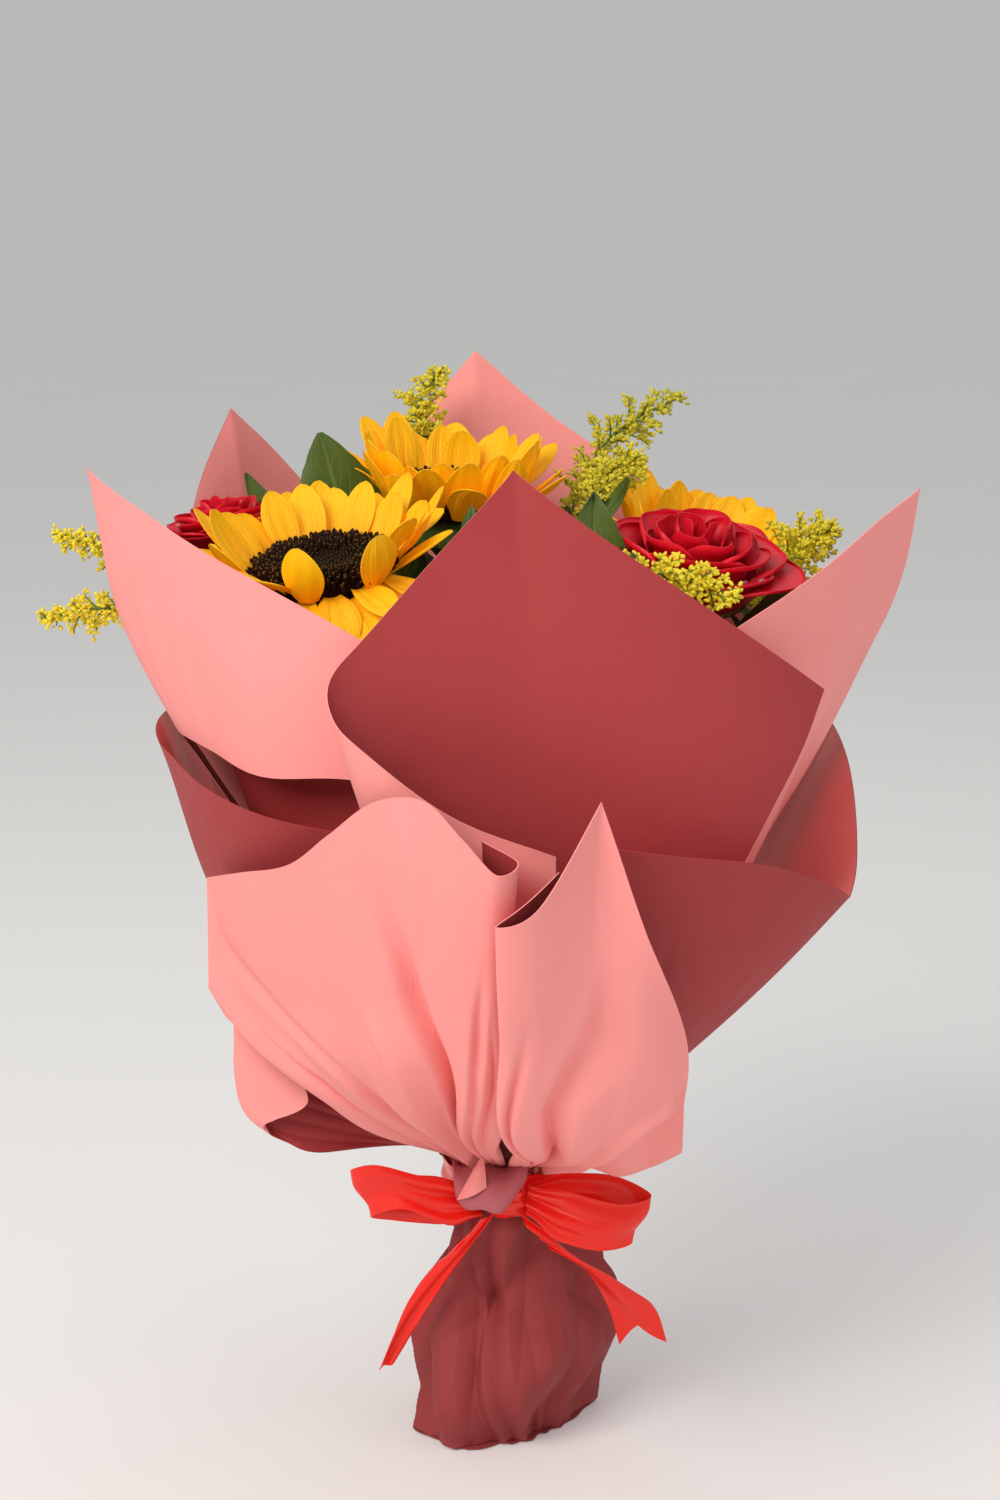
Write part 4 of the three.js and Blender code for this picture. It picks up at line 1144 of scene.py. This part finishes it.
# ---- Stems ----
def spline(points, many):
    """A smooth path through points, spaced evenly along its length."""
    points = np.asarray(points, float)
    padded = np.concatenate([2 * points[:1] - points[1:2], points, 2 * points[-1:] - points[-2:-1]])
    pieces = []
    for a, b, c, d in zip(padded, padded[1:], padded[2:], padded[3:]):
        near, far = np.linalg.norm(b - a) ** 0.5, np.linalg.norm(d - c) ** 0.5
        middle = max(np.linalg.norm(c - b) ** 0.5, 1e-6)
        f = np.linspace(0, 1, 24, endpoint=False)[:, None]
        leave = ((b - a) / near - (c - a) / (near + middle) + (c - b) / middle) * middle
        arrive = ((c - b) / middle - (d - b) / (middle + far) + (d - c) / far) * middle
        pieces.append(hermite(b, leave, c, arrive, f))
    fine = np.concatenate([*pieces, points[-1:]])
    length = np.concatenate([[0], np.cumsum(np.linalg.norm(np.diff(fine, axis=0), axis=1))])
    at = np.linspace(0, length[-1], many)
    return np.stack([np.interp(at, length, fine[:, i]) for i in range(3)], axis=-1)


def neck_points(circle, slot):
    """A stem's cut end, and its places just below and just above the tie."""
    low, high = NECK_HEIGHT - 2 * TIE_HEIGHT, NECK_HEIGHT + TIE_HEIGHT
    return [
        around(slot, circle * CUT_SPREAD, CUT_HEIGHT),
        around(slot, circle, low),
        around(slot, circle + 0.001, high),
    ]


def stem_path(circle, slot, end, facing, bend):
    """A stem from its cut end, through the tie, to the back of its head, where it bends to face."""
    return spline([*neck_points(circle, slot), end - facing * bend, end], 90)


def uneven(path, radius, seed):
    """Radii that wander a little, with swellings at the leaf joints."""
    share = np.linspace(0, 1, len(path))
    knots = 0.16 * np.exp(-(((share * 7 + seed * 0.37) % 1 - 0.5) ** 2) * 220)
    return radius * (1 + 0.05 * np.sin(share * 37 + seed) + knots)


def blade(heap, root, tip, width, arch, turn=0.0, finish_at=0, teeth=11, petiole=0.12, cup=0.16, seed=0):
    """A leaf from its root to its tip: cupped along a midrib, toothed and wavy at its edges."""
    along = tip - root
    outwards = unit(np.array([tip[0], tip[1], 0.02]))
    side = unit(np.cross(along, outwards))
    axis = unit(along)
    angle = math.radians(turn)
    side = side * math.cos(angle) + np.cross(axis, side) * math.sin(angle)
    lift = np.cross(side, axis)
    u, v = np.meshgrid(np.linspace(0, 1, 15), np.linspace(0, 1, 64))
    f = np.clip((v - petiole) / (1 - petiole), 0, 1)
    half = 0.0009 + width / 2 * np.sin(np.pi * f**0.8) ** 0.8 * (1 - 0.25 * f)
    tooth = 1 + 0.055 * (((f * teeth) % 1) - 0.5) * (np.abs(2 * u - 1) ** 4)
    offset = (2 * u - 1) * half * tooth
    wave = 0.05 * width * np.sin(f * 12 + seed + 2 * u) * np.abs(2 * u - 1) ** 2
    rise = arch * np.sin(np.pi * v) + cup * np.abs(offset) + wave - 0.0007 * np.exp(-(((2 * u - 1) * 9) ** 2))
    length = np.linalg.norm(along)
    middle = (
        root + axis * (v * length)[..., None] + side * offset[..., None] + lift * rise[..., None]
        + lift * (-0.05 * length * (v**2.2))[..., None]
    )
    double_sided(heap, middle, LEAF_THICKNESS, finish_at, finish_at, finish_at)


def grown_stem(path, radius, seed, leaves, head, grow):
    """A stem with its leaves, which swells to the head's radius over the last stretch, made as one piece."""
    heap = Heap("stem", "leaf")
    share = np.linspace(0, 1, len(path))
    reach = grow / (np.linalg.norm(np.diff(path, axis=0), axis=1).sum())
    swell = (head - radius) * smooth(1 - 2.4 * reach, 1 - 0.3 * reach, share)
    radii = uneven(path, radius, seed) + swell
    tube(heap, path, radii, 10)
    for at, azimuth, length, width in leaves:
        root = path[int(at * (len(path) - 1))]
        tip = root + around(azimuth, length * 0.78, length * 0.62)
        blade(heap, root, tip, width, 0.10 * length, turn=seed * 40 % 50 - 25, finish_at=1, seed=seed)
    return heap


# ---- Sunflowers ----
# Each sunflower: its place, the lean of its face and where it leans to, its stem's place in the tie, its
# petals' length, rise and start, and the width of the two arcs whose petals fold in over the disc.
SUNFLOWERS = (
    dict(at=(-66, 0.36, 0.76), lean=14, towards=-30, slot=-54, ray=0.042, lift=40, spin=0.2, folded=0.33),
    dict(at=(-152, 0.21, 0.82), lean=8, towards=20, slot=-154, ray=0.039, lift=52, spin=0.9, folded=0),
    dict(at=(128, 0.47, 0.74), lean=16, towards=60, slot=120, ray=0.034, lift=52, spin=1.7, folded=0),
)


RAY_WIDTH = 0.0172
RAY_THICKNESS = 0.00055
DROOP = 0.80  # radians on each side of the front in which the front sunflower's other petals hang
FOLD_START = 0.26  # radians from the front to where the folded petals begin, on each side
FLORETS = 900
BRACTS = 22
# (share of the radius, height) round the disc's edge and over its face
DISC_PROFILE = (
    (0.0, 0.0), (0.93, 0.0), (1.0, 0.003), (0.95, 0.0065), (0.82, 0.0088), (0.5, 0.0078), (0.2, 0.0058),
    (0.0, 0.005),
)
FLORET_HEIGHTS = ((0, 0.0050), (0.2, 0.0056), (0.5, 0.0074), (0.82, 0.0080), (0.95, 0.0062), (1.0, 0.0040))


def ray_petals(heap, count, length, lift, spin, radius, seed, front, drooping, folded=0.0):
    """One ring of ray petals round +Z: each is grooved, cupped and pointed, and no two are alike."""
    rng = np.random.default_rng(seed)
    for i in range(count):
        angle = spin + (i + rng.uniform(-0.22, 0.22)) * 2 * math.pi / count
        long = length * rng.uniform(0.84, 1.10)
        width = RAY_WIDTH * rng.uniform(0.88, 1.12)
        rise = math.radians(lift + rng.uniform(-11, 11))
        curl = rng.uniform(-0.7, 0.4)
        off = (angle - front + math.pi) % (2 * math.pi) - math.pi
        inset = 0.0
        if folded and FOLD_START < abs(off) < FOLD_START + folded:
            rise, curl, width = math.radians(rng.uniform(58, 66)), -1.0, width * 1.2
            long, inset = long * 0.70, 0.004
        elif abs(off) < drooping:
            rise, curl, inset = math.radians(rng.uniform(-26, 2)), 0.5, 0.001
        twist = rng.uniform(-0.5, 0.5)
        u, v = np.meshgrid(np.linspace(-1, 1, 13), np.linspace(0, 1, 26))
        half = width / 2 * np.clip(np.sin(np.pi * (0.08 + 0.92 * v**1.25)), 0, 1) ** 0.62 + 0.0004
        bend = rise - curl * (v - 0.2)
        out = np.cumsum(np.cos(bend), axis=0) / 26 * long
        up = np.cumsum(np.sin(bend), axis=0) / 26 * long
        groove = 0.00055 * np.cos(u * 9.4) * np.sin(np.pi * v)
        cup = 0.28 * half * u**2 * (1 - 0.5 * v) + groove
        turn = twist * v
        aside = half * u * np.cos(turn) - cup * np.sin(turn)
        over = half * u * np.sin(turn) + cup * np.cos(turn)
        radial = radius + inset + out - over * np.sin(rise)
        height = up + over * np.cos(rise)
        outwards, sideways = about_axis(angle, 1, 0), about_axis(angle + RIGHT_ANGLE, 1, 0)
        middle = outwards * radial[..., None] + sideways * aside[..., None]
        middle[..., 2] += height + 0.0014 * (i % 3)
        double_sided(heap, middle, RAY_THICKNESS)


def seated(heap, turn, centre):
    """Turns and moves everything in the heap from its own axis to its place."""
    heap.points = [points @ turn.T + centre for points in heap.points]


class BUNCH_OT_sunflowers(bpy.types.Operator):
    """Adds the sunflowers, with their stems and discs"""

    bl_idname = "bunch.add_sunflowers"
    bl_label = "Add Sunflowers"

    def execute(self, context):
        rays = context.scene.bunch_flowers.rays
        for i, flower in enumerate(SUNFLOWERS, 1):
            centre, facing = head_pose(flower["at"], flower["lean"], flower["towards"])
            frame_now = facing_frame(facing)
            self.disc(i, frame_now, centre)
            heap = Heap("ray")
            ring = DISC_RADIUS - 0.003
            lift, spin, length = flower["lift"], flower["spin"], flower["ray"]
            folded = flower["folded"]
            front = math.atan2(-frame_now[1, 1], -frame_now[1, 0]) + folded * 0.8
            droop = DROOP if folded else 0.0
            ray_petals(heap, rays, length, lift - 8, spin, ring, i, front, droop, folded)
            spin, ring = spin + 0.17, ring - 0.002
            ray_petals(heap, rays - 1, length * 0.9, lift + 8, spin, ring, i + 10, front, droop)
            seated(heap, frame_now, centre)
            heap.piece(f"sunflower_{i}_ray_petals", f"sunflower_{i}_petals", "sunflower_petal")
            self.stem(i, flower, centre, facing, frame_now)
        return {"FINISHED"}

    @staticmethod
    def disc(number, frame_now, centre):
        heap = Heap("floret")
        angle = np.linspace(0, 2 * math.pi, 60, endpoint=False)
        profile = np.array(DISC_PROFILE)
        radial = profile[:, :1] * (DISC_RADIUS - 0.0015)
        # An along share of 0 gives the disc under the florets the painted shade of their bases.
        uv = np.stack([np.repeat(profile[:, :1], 60, 1), np.zeros((len(profile), 60))], axis=-1)
        heap.grid(about_axis(angle, radial, profile[:, 1:]), 0, uv, wrap=True)
        order = np.arange(1, FLORETS)
        share = np.sqrt(order / FLORETS)
        turn = order * GOLDEN_ANGLE
        radius = share * (DISC_RADIUS - 0.002)
        height = np.interp(share, *zip(*FLORET_HEIGHTS))
        places = about_axis(turn, radius, height - 0.0006)
        tilt = np.interp(share, [0, 0.5, 0.8, 1.0], [-0.3, -0.1, 0.35, 1.0])
        aims = unit(about_axis(turn, tilt, 1.0))
        size = np.interp(share, [0, 0.45, 0.6, 1.0], [0.62, 0.8, 1.25, 1.35])
        rng = np.random.default_rng(number)
        size = size * rng.uniform(0.75, 1.25, len(size))
        aims = unit(aims + rng.normal(size=aims.shape) * 0.14 * share[:, None])
        turns = turns_to(aims) * size[:, None, None]
        turns[..., 2] *= np.interp(share, [0, 0.5, 0.62, 1.0], [0.8, 0.9, 1.7, 1.9])[:, None]
        heap.scatter(bud(0.00085, 0.0028), turns, places, across=share)
        seated(heap, frame_now, centre)
        heap.piece(f"sunflower_{number}_florets", f"sunflower_{number}_disc", "sunflower_disc")

    @staticmethod
    def stem(number, flower, centre, facing, frame_now):
        end = centre - facing * 0.0015
        path = stem_path(INNER_CIRCLE, flower["slot"], end, facing, RECEPTACLE_HEIGHT)
        azimuth = flower["at"][0]
        leaves = (
            (0.70, azimuth + 60, 0.075, 0.044),
            (0.80, azimuth - 50, 0.070, 0.040),
            (0.88, azimuth, 0.050, 0.030),
        )
        heap = grown_stem(path, SUNFLOWER_STEM, number, leaves, RECEPTACLE_RADIUS, RECEPTACLE_HEIGHT)
        bracts = Heap("leaf")
        rng = np.random.default_rng(number)
        for i in range(BRACTS):
            angle = i * GOLDEN_ANGLE
            start = about_axis(angle, RECEPTACLE_RADIUS, -0.003)
            stop = about_axis(angle, DISC_RADIUS + rng.uniform(0.004, 0.009), rng.uniform(-0.013, -0.009))
            u, v = np.meshgrid(np.linspace(-1, 1, 7), np.linspace(0, 1, 12))
            across = about_axis(angle + RIGHT_ANGLE, 1, 0)
            half = 0.0052 * np.sqrt(np.clip(1 - v**2.4, 0, 1)) + 0.0003
            middle = start + (stop - start) * v[..., None] + across * (half * u)[..., None]
            middle[..., 2] -= 0.004 * np.sin(np.pi * v) + 0.0012 * u**2
            double_sided(bracts, middle, LEAF_THICKNESS)
        seated(bracts, frame_now, centre)
        merge(heap, bracts, 1)
        heap.piece(f"sunflower_{number}_stalk", f"sunflower_{number}_stem", "stem")


def merge(heap, other, finish_at):
    """Adds everything in the other heap, under one finish."""
    start = heap.count
    heap.points += other.points
    heap.quads += [quads + start for quads in other.quads]
    heap.uvs += other.uvs
    heap.numbers += [np.full(len(numbers), finish_at) for numbers in other.numbers]
    heap.count += other.count


# ---- Roses ----
# Each rose: its place, the lean of its face and where it leans to, its stem's place in the tie, the bloom's
# radius and the number of its dewdrops.
ROSES = (
    dict(at=(65, 0.345, 0.785), lean=16, towards=20, slot=52, radius=0.039, dew=60),
    dict(at=(-104, 0.6, 0.8), lean=12, towards=-90, slot=-92, radius=0.029, dew=14),
    dict(at=(2, 0.24, 0.72), lean=8, towards=0, slot=0, radius=0.028, dew=14),
    dict(at=(98, 0.07, 0.73), lean=4, towards=90, slot=92, radius=0.025, dew=10),
    dict(at=(-136, 0.5, 0.72), lean=10, towards=-130, slot=-126, radius=0.025, dew=10),
)


ROSE_PETALS = 24
ROSE_THICKNESS = 0.0005
ROSE_TALL = 1.2  # the bloom's height, as a share of its radius
ROSE_SEAT = 0.50  # how far the bloom's middle stands above its sepals, as a share of its height
ROSE_HIP = 0.0065  # the radius that a rose's stem swells to under the bloom
SEPALS = 5
DEWDROP = (0.0012, 0.0009)  # half its width and half its height


def rose_petal(radius, height, share, angle, rng):
    """One petal as a grid: a cupped shell round the axis whose rim curls out more on the outer petals."""
    u, v = np.meshgrid(np.linspace(-1, 1, 22), np.linspace(0, 1, 20))
    span = math.radians(72 + 22 * (1 - share)) * rng.uniform(0.9, 1.08)
    ring = radius * (0.09 + 0.86 * share**0.9)
    top = height * (0.96 - 0.26 * share**1.8) * rng.uniform(0.96, 1.03)
    belly = np.sin(np.pi * np.clip(v, 0, 1) * 0.62) ** 0.7
    rim = smooth(0.66, 1.0, v)
    flare = rim * (0.36 * share + 0.03) * radius * (0.55 + 0.45 * np.cos(u * 1.9))
    close = -0.16 * (1 - share) * radius * v * 0.6
    wave = 0.040 * radius * np.sin(u * rng.uniform(3, 5) + rng.uniform(0, 6)) * rim
    radial = ring * (0.30 + 0.70 * belly) + flare + close + wave
    narrow = np.clip(np.sin(np.pi * (0.16 + 0.70 * v)), 0.2, 1) ** 0.6
    turn = angle + span * u * narrow
    edge = 1 - 0.17 * np.abs(u) ** 2.6 - 0.03 * np.exp(-((u * 5) ** 2)) * share
    tall = top * v * edge - rim * share * 0.16 * height * (0.5 + 0.5 * np.cos(u * 1.6)) * v
    return about_axis(turn, radial, tall)


class BUNCH_OT_roses(bpy.types.Operator):
    """Adds the roses, with dew on their petals"""

    bl_idname = "bunch.add_roses"
    bl_label = "Add Roses"

    def execute(self, context):
        for i, flower in enumerate(ROSES, 1):
            centre, facing = head_pose(flower["at"], flower["lean"], flower["towards"])
            frame_now = facing_frame(facing)
            radius = flower["radius"]
            height = ROSE_TALL * radius
            rng = np.random.default_rng(40 + i)
            heap = Heap("rose", "dew")
            outer = []
            for k in range(ROSE_PETALS):
                share = (k / (ROSE_PETALS - 1)) ** 0.85
                petal = rose_petal(radius, height, share, k * GOLDEN_ANGLE + i, rng)
                double_sided(heap, petal, ROSE_THICKNESS)
                if share > 0.45:
                    outer.append(petal)
            self.dew(heap, outer, flower["dew"], rng)
            seated(heap, frame_now, centre - facing * ROSE_SEAT * height)
            heap.piece(f"rose_{i}_petals", f"rose_{i}_bloom", "rose_petal")

            end = centre - facing * (ROSE_SEAT * height + 0.0005)
            path = stem_path(OUTER_CIRCLE, flower["slot"], end, facing, 2 * SEPAL_HEIGHT)
            azimuth = flower["at"][0]
            leaves = (
                (0.72, azimuth + 35, 0.060, 0.030),
                (0.80, azimuth - 55, 0.055, 0.028),
                (0.87, azimuth + 5, 0.050, 0.026),
            )
            heap = grown_stem(path, ROSE_STEM, i + 5, leaves, ROSE_HIP, SEPAL_HEIGHT)
            sepals = Heap("leaf")
            for k in range(SEPALS):
                angle = k * 2 * math.pi / SEPALS
                u, v = np.meshgrid(np.linspace(-1, 1, 7), np.linspace(0, 1, 14))
                half = 0.0052 * (1 - v) ** 0.7 * (0.5 + v) + 0.0003
                radial = 0.004 + 0.62 * radius * np.sin(v * 1.3)
                tall = -0.004 + 0.34 * radius * v**1.6 - 0.004 * v
                turn = angle + half * u / np.maximum(radial, 0.004)
                double_sided(sepals, about_axis(turn, radial, tall), LEAF_THICKNESS)
            seated(sepals, frame_now, end)
            merge(heap, sepals, 1)
            heap.piece(f"rose_{i}_stalk", f"rose_{i}_stem", "stem")
        return {"FINISHED"}

    @staticmethod
    def dew(heap, petals, many, rng):
        """Drops that sit on the outer petals, half sunk."""
        places, turns = [], []
        for _ in range(many):
            petal = petals[rng.integers(len(petals))]
            row, col = rng.integers(11, 19), rng.integers(3, 19)
            normal = normals_of(petal)[row, col]
            if normal[2] < 0:
                normal = -normal
            places.append(petal[row, col] + normal * 0.0004)
            turns.append(turns_to(normal[None])[0] * rng.uniform(0.5, 1.5))
        angle = np.linspace(0, 2 * math.pi, 10, endpoint=False)
        tilt = np.linspace(0.01 - RIGHT_ANGLE, RIGHT_ANGLE - 0.01, 7)[:, None]
        wide, tall = DEWDROP
        heap.scatter(about_axis(angle, wide * np.cos(tilt), tall * np.sin(tilt)), np.array(turns), places, 1)


# ---- Goldenrod ----
# Each spray: its place among the stems, and its plume's base, middle, tip, size and ripeness
GOLDENRODS = (
    (162, (164, 0.45, 0.8), (156, 0.52, 0.9), (143, 0.6, 0.955), 0.009, 0.35),
    (144, (140, 0.2, 0.82), (142, 0.26, 0.86), (135, 0.34, 0.885), 0.009, 0.55),
    (24, (22, 0.38, 0.755), (38, 0.43, 0.785), (50, 0.54, 0.755), 0.0085, 1.0),
    (72, (98, 0.5, 0.72), (96, 0.56, 0.78), (94, 0.66, 0.81), 0.010, 0.7),
    (-108, (-106, 0.72, 0.66), (-102, 0.88, 0.69), (-98, 1.04, 0.68), 0.007, 0.9),
    (-178, (-162, 0.52, 0.86), (-158, 0.51, 0.94), (-163, 0.47, 0.995), 0.008, 0.6),
    (-71, (-103, 0.76, 0.74), (-99, 0.88, 0.775), (-96, 0.99, 0.795), 0.006, 0.8),
    (-31, (-20, 0, 0.66), (-25, 0.02, 0.74), (-30, 0.06, 0.82), 0.008, 0.7),
)


BRANCHES = 42
STALK_FLORETS = 60
FLORET_STEP = 0.0006  # metres of branch for each of its florets
SMALL_LEAVES = 12


class BUNCH_OT_goldenrod(bpy.types.Operator):
    """Adds the sprays of goldenrod"""

    bl_idname = "bunch.add_goldenrod"
    bl_label = "Add Goldenrod"

    def execute(self, context):
        for i, (slot, base, middle, tip, plume, ripe) in enumerate(GOLDENRODS, 1):
            heads = [in_head(SHEET_RADIUS, place) for place in (base, middle, tip)]
            path = spline([*neck_points(OUTER_CIRCLE, slot), *heads], 140)
            length = np.linalg.norm(np.diff(path, axis=0), axis=1).sum()
            begins = 1 - np.linalg.norm(heads[1] - heads[0]) * 2.2 / length
            heap = Heap("golden", "stem", "leaf")
            tube(heap, path, np.linspace(0.0015, 0.0006, len(path)), 7, 1)
            self.plume(heap, path, begins, plume, ripe, np.random.default_rng(60 + i))
            rng = np.random.default_rng(80 + i)
            for k in range(SMALL_LEAVES):
                at = np.interp(k, [0, SMALL_LEAVES - 1], [0.55, 0.97 * begins + 0.02])
                root = path[int(at * (len(path) - 1))]
                long = rng.uniform(0.026, 0.042)
                stop = root + around(np.degrees(k * GOLDEN_ANGLE), long * 0.6, long * 0.75)
                blade(heap, root, stop, 0.007, 0.004, 10, 2, teeth=7, petiole=0.04, seed=k)
            heap.piece(f"goldenrod_{i}_spray", f"goldenrod_{i}", "goldenrod")
        return {"FINISHED"}

    @staticmethod
    def plume(heap, path, begins, size, ripe, rng):
        """Side branches that arch out from the stalk, each thick with small florets along its upper side."""
        tangent, side, other = frames_along(path)
        places, aims = [], []
        for k in range(BRANCHES):
            share = k / (BRANCHES - 1)
            at = int((begins + (1 - begins) * share * 0.985) * (len(path) - 1))
            angle = k * GOLDEN_ANGLE
            outwards = side[at] * math.cos(angle) + other[at] * math.sin(angle)
            swell = math.sin(math.pi * min(1, share * 0.8 + 0.16)) ** 1.1
            long = (0.35 + 1.75 * swell) * size * rng.uniform(0.7, 1.25)
            f = np.linspace(0, 1, 14)[:, None]
            leave = (outwards * 0.72 + tangent[at] * 0.75) * long
            arch = tangent[at] * (-0.25 * long) + np.array([0, 0, -0.10 * long])
            branch = path[at] + leave * f + arch * f**2
            tube(heap, branch, np.linspace(0.0006, 0.00025, 14), 5, 1)
            for _ in range(max(8, int(long / FLORET_STEP))):
                spot = branch[int(rng.uniform(0.12, 1.0) * 13)]
                aim = unit(rng.normal(size=3) + tangent[at] * 0.8 + outwards * 0.3)
                places.append(spot + aim * rng.uniform(0.0004, 0.0021))
                aims.append(aim)
        for _ in range(STALK_FLORETS):
            at = int(rng.uniform(begins, 1.0) * (len(path) - 1))
            aim = unit(rng.normal(size=3) + tangent[at])
            places.append(path[at] + aim * 0.0012)
            aims.append(aim)
        turns = turns_to(np.array(aims)) * rng.uniform(0.75, 1.35, len(aims))[:, None, None]
        ripeness = rng.uniform(ripe - 0.2, ripe + 0.1, len(aims))
        heap.scatter(bud(0.0008, 0.0024), turns, places, across=ripeness)


# ---- Leaves ----
# Each leaf: its root, its tip, its width and its turn about the midrib in degrees
LEAVES = (
    ((-114, 0.16, 0.5), (-111, 0.38, 0.925), 0.054, -66),
    ((48, 0.12, 0.5), (35, 0.22, 0.87), 0.038, -25),
    ((-122, 0.1, 0.5), (-116, 0.62, 0.855), 0.026, -40),
    ((-68, 0, 0.5), (-68, 0, 0.84), 0.018, 55),
    ((80, 0.2, 0.5), (82, 0.56, 0.76), 0.026, -50),
    ((-20, 0.1, 0.4), (-36, 0.3, 0.7), 0.026, 10),
    ((165, 0.1, 0.5), (165, 0.42, 0.8), 0.028, 20),
)


class BUNCH_OT_leaves(bpy.types.Operator):
    """Adds the separate leaves among the flowers"""

    bl_idname = "bunch.add_leaves"
    bl_label = "Add Leaves"

    def execute(self, context):
        for i, (start, stop, width, turn) in enumerate(LEAVES, 1):
            heap = Heap("leaf")
            root, tip = in_head(SHEET_RADIUS, start), in_head(SHEET_RADIUS, stop)
            blade(heap, root, tip, width * 1.15, 0.007, turn, petiole=0.4, teeth=13, cup=0.2, seed=i)
            heap.piece(f"leaf_{i}_blade", f"leaf_{i}", "leaf")
        return {"FINISHED"}


# ---- The stage ----
FLOOR_REACH = 60
FLOOR_GAP = 0.0008  # how far the floor lies below the foot
WORLD_GREY = 0.80
WORLD_STRENGTH = 0.6
AIM = (0, 0, 0.30)
CAMERA_PLACE = (-0.0056, -1.400, 0.620)
CAMERA_TILT = 78.5
CAMERA_LENS = 72.1


class BUNCH_OT_stage(bpy.types.Operator):
    """Adds the floor, the lights and the camera"""

    bl_idname = "bunch.add_stage"
    bl_label = "Add Stage"

    def execute(self, context):
        settings = context.scene.bunch_stage
        heap = Heap("floor")
        angle, ring = np.meshgrid(np.linspace(0, 2 * math.pi, 96), np.geomspace(0.05, FLOOR_REACH, 40))
        ring[0] = 0
        heap.grid(about_axis(angle, ring, 0.0), flip=True)
        floor = heap.made("floor")
        floor.location.z = -FLOOR_GAP
        self.light("key", (-1.1, -1.5, 1.7), 1.3, settings.key, (1.0, 0.965, 0.92))
        self.light("fill", (1.5, -1.1, 0.9), 1.6, settings.fill, (0.90, 0.95, 1.0))
        self.light("top", (0.1, 0.5, 1.9), 1.2, settings.fill * 0.8, (1.0, 1.0, 1.0))
        world = bpy.data.worlds.new("studio")
        world.use_nodes = True
        back = world.node_tree.nodes["Background"]
        back.inputs["Color"].default_value = (WORLD_GREY, WORLD_GREY, WORLD_GREY, 1)
        back.inputs["Strength"].default_value = WORLD_STRENGTH
        context.scene.world = world

        camera = bpy.data.cameras.new("camera")
        camera.sensor_width = 36
        camera.sensor_fit = "VERTICAL"
        camera.sensor_height = 36
        camera.lens = CAMERA_LENS
        camera.dof.use_dof = False
        seat = bpy.data.objects.new("camera", camera)
        seat.location = CAMERA_PLACE
        seat.rotation_euler = (math.radians(CAMERA_TILT), 0, 0)
        context.collection.objects.link(seat)
        context.scene.camera = seat
        context.scene.view_settings.view_transform = "Standard"
        return {"FINISHED"}

    @staticmethod
    def light(name, place, size, power, colour):
        lamp = bpy.data.lights.new(name, "AREA")
        lamp.energy, lamp.size, lamp.color = power, size, colour
        made = bpy.data.objects.new(name, lamp)
        made.location = place
        aim = Vector(AIM) - Vector(place)
        made.rotation_euler = aim.to_track_quat("-Z", "Y").to_euler()
        bpy.context.collection.objects.link(made)


# ---- The add-on ----
OPERATORS = (
    BUNCH_OT_sheets, BUNCH_OT_foot, BUNCH_OT_ribbon, BUNCH_OT_tie, BUNCH_OT_sunflowers,
    BUNCH_OT_roses, BUNCH_OT_goldenrod, BUNCH_OT_leaves, BUNCH_OT_stage,
)
SETTINGS = {
    "bunch_paper": PaperSettings,
    "bunch_ribbon": RibbonSettings,
    "bunch_flowers": FlowerSettings,
    "bunch_leaves": LeafSettings,
    "bunch_stage": StageSettings,
}


class BUNCH_PT_panel(bpy.types.Panel):
    """Lists the pieces of the bunch and their settings"""

    bl_idname = "BUNCH_PT_panel"
    bl_label = "Wrapped Flower Bunch"
    bl_space_type = "VIEW_3D"
    bl_region_type = "UI"
    bl_category = "Bunch"

    def draw(self, context):
        for operator in OPERATORS:
            self.layout.operator(operator.bl_idname)
        for pointer, group in SETTINGS.items():
            box = self.layout.box()
            for name in group.__annotations__:
                box.prop(getattr(context.scene, pointer), name)


def register():
    for group in (*SETTINGS.values(), *OPERATORS, BUNCH_PT_panel):
        bpy.utils.register_class(group)
    for pointer, group in SETTINGS.items():
        setattr(bpy.types.Scene, pointer, bpy.props.PointerProperty(type=group))


def unregister():
    for pointer in SETTINGS:
        delattr(bpy.types.Scene, pointer)
    for group in reversed((*SETTINGS.values(), *OPERATORS, BUNCH_PT_panel)):
        bpy.utils.unregister_class(group)


def main():
    register()
    for operator in OPERATORS:
        getattr(bpy.ops.bunch, operator.bl_idname.split(".")[1])()


if __name__ == "__main__":
    main()
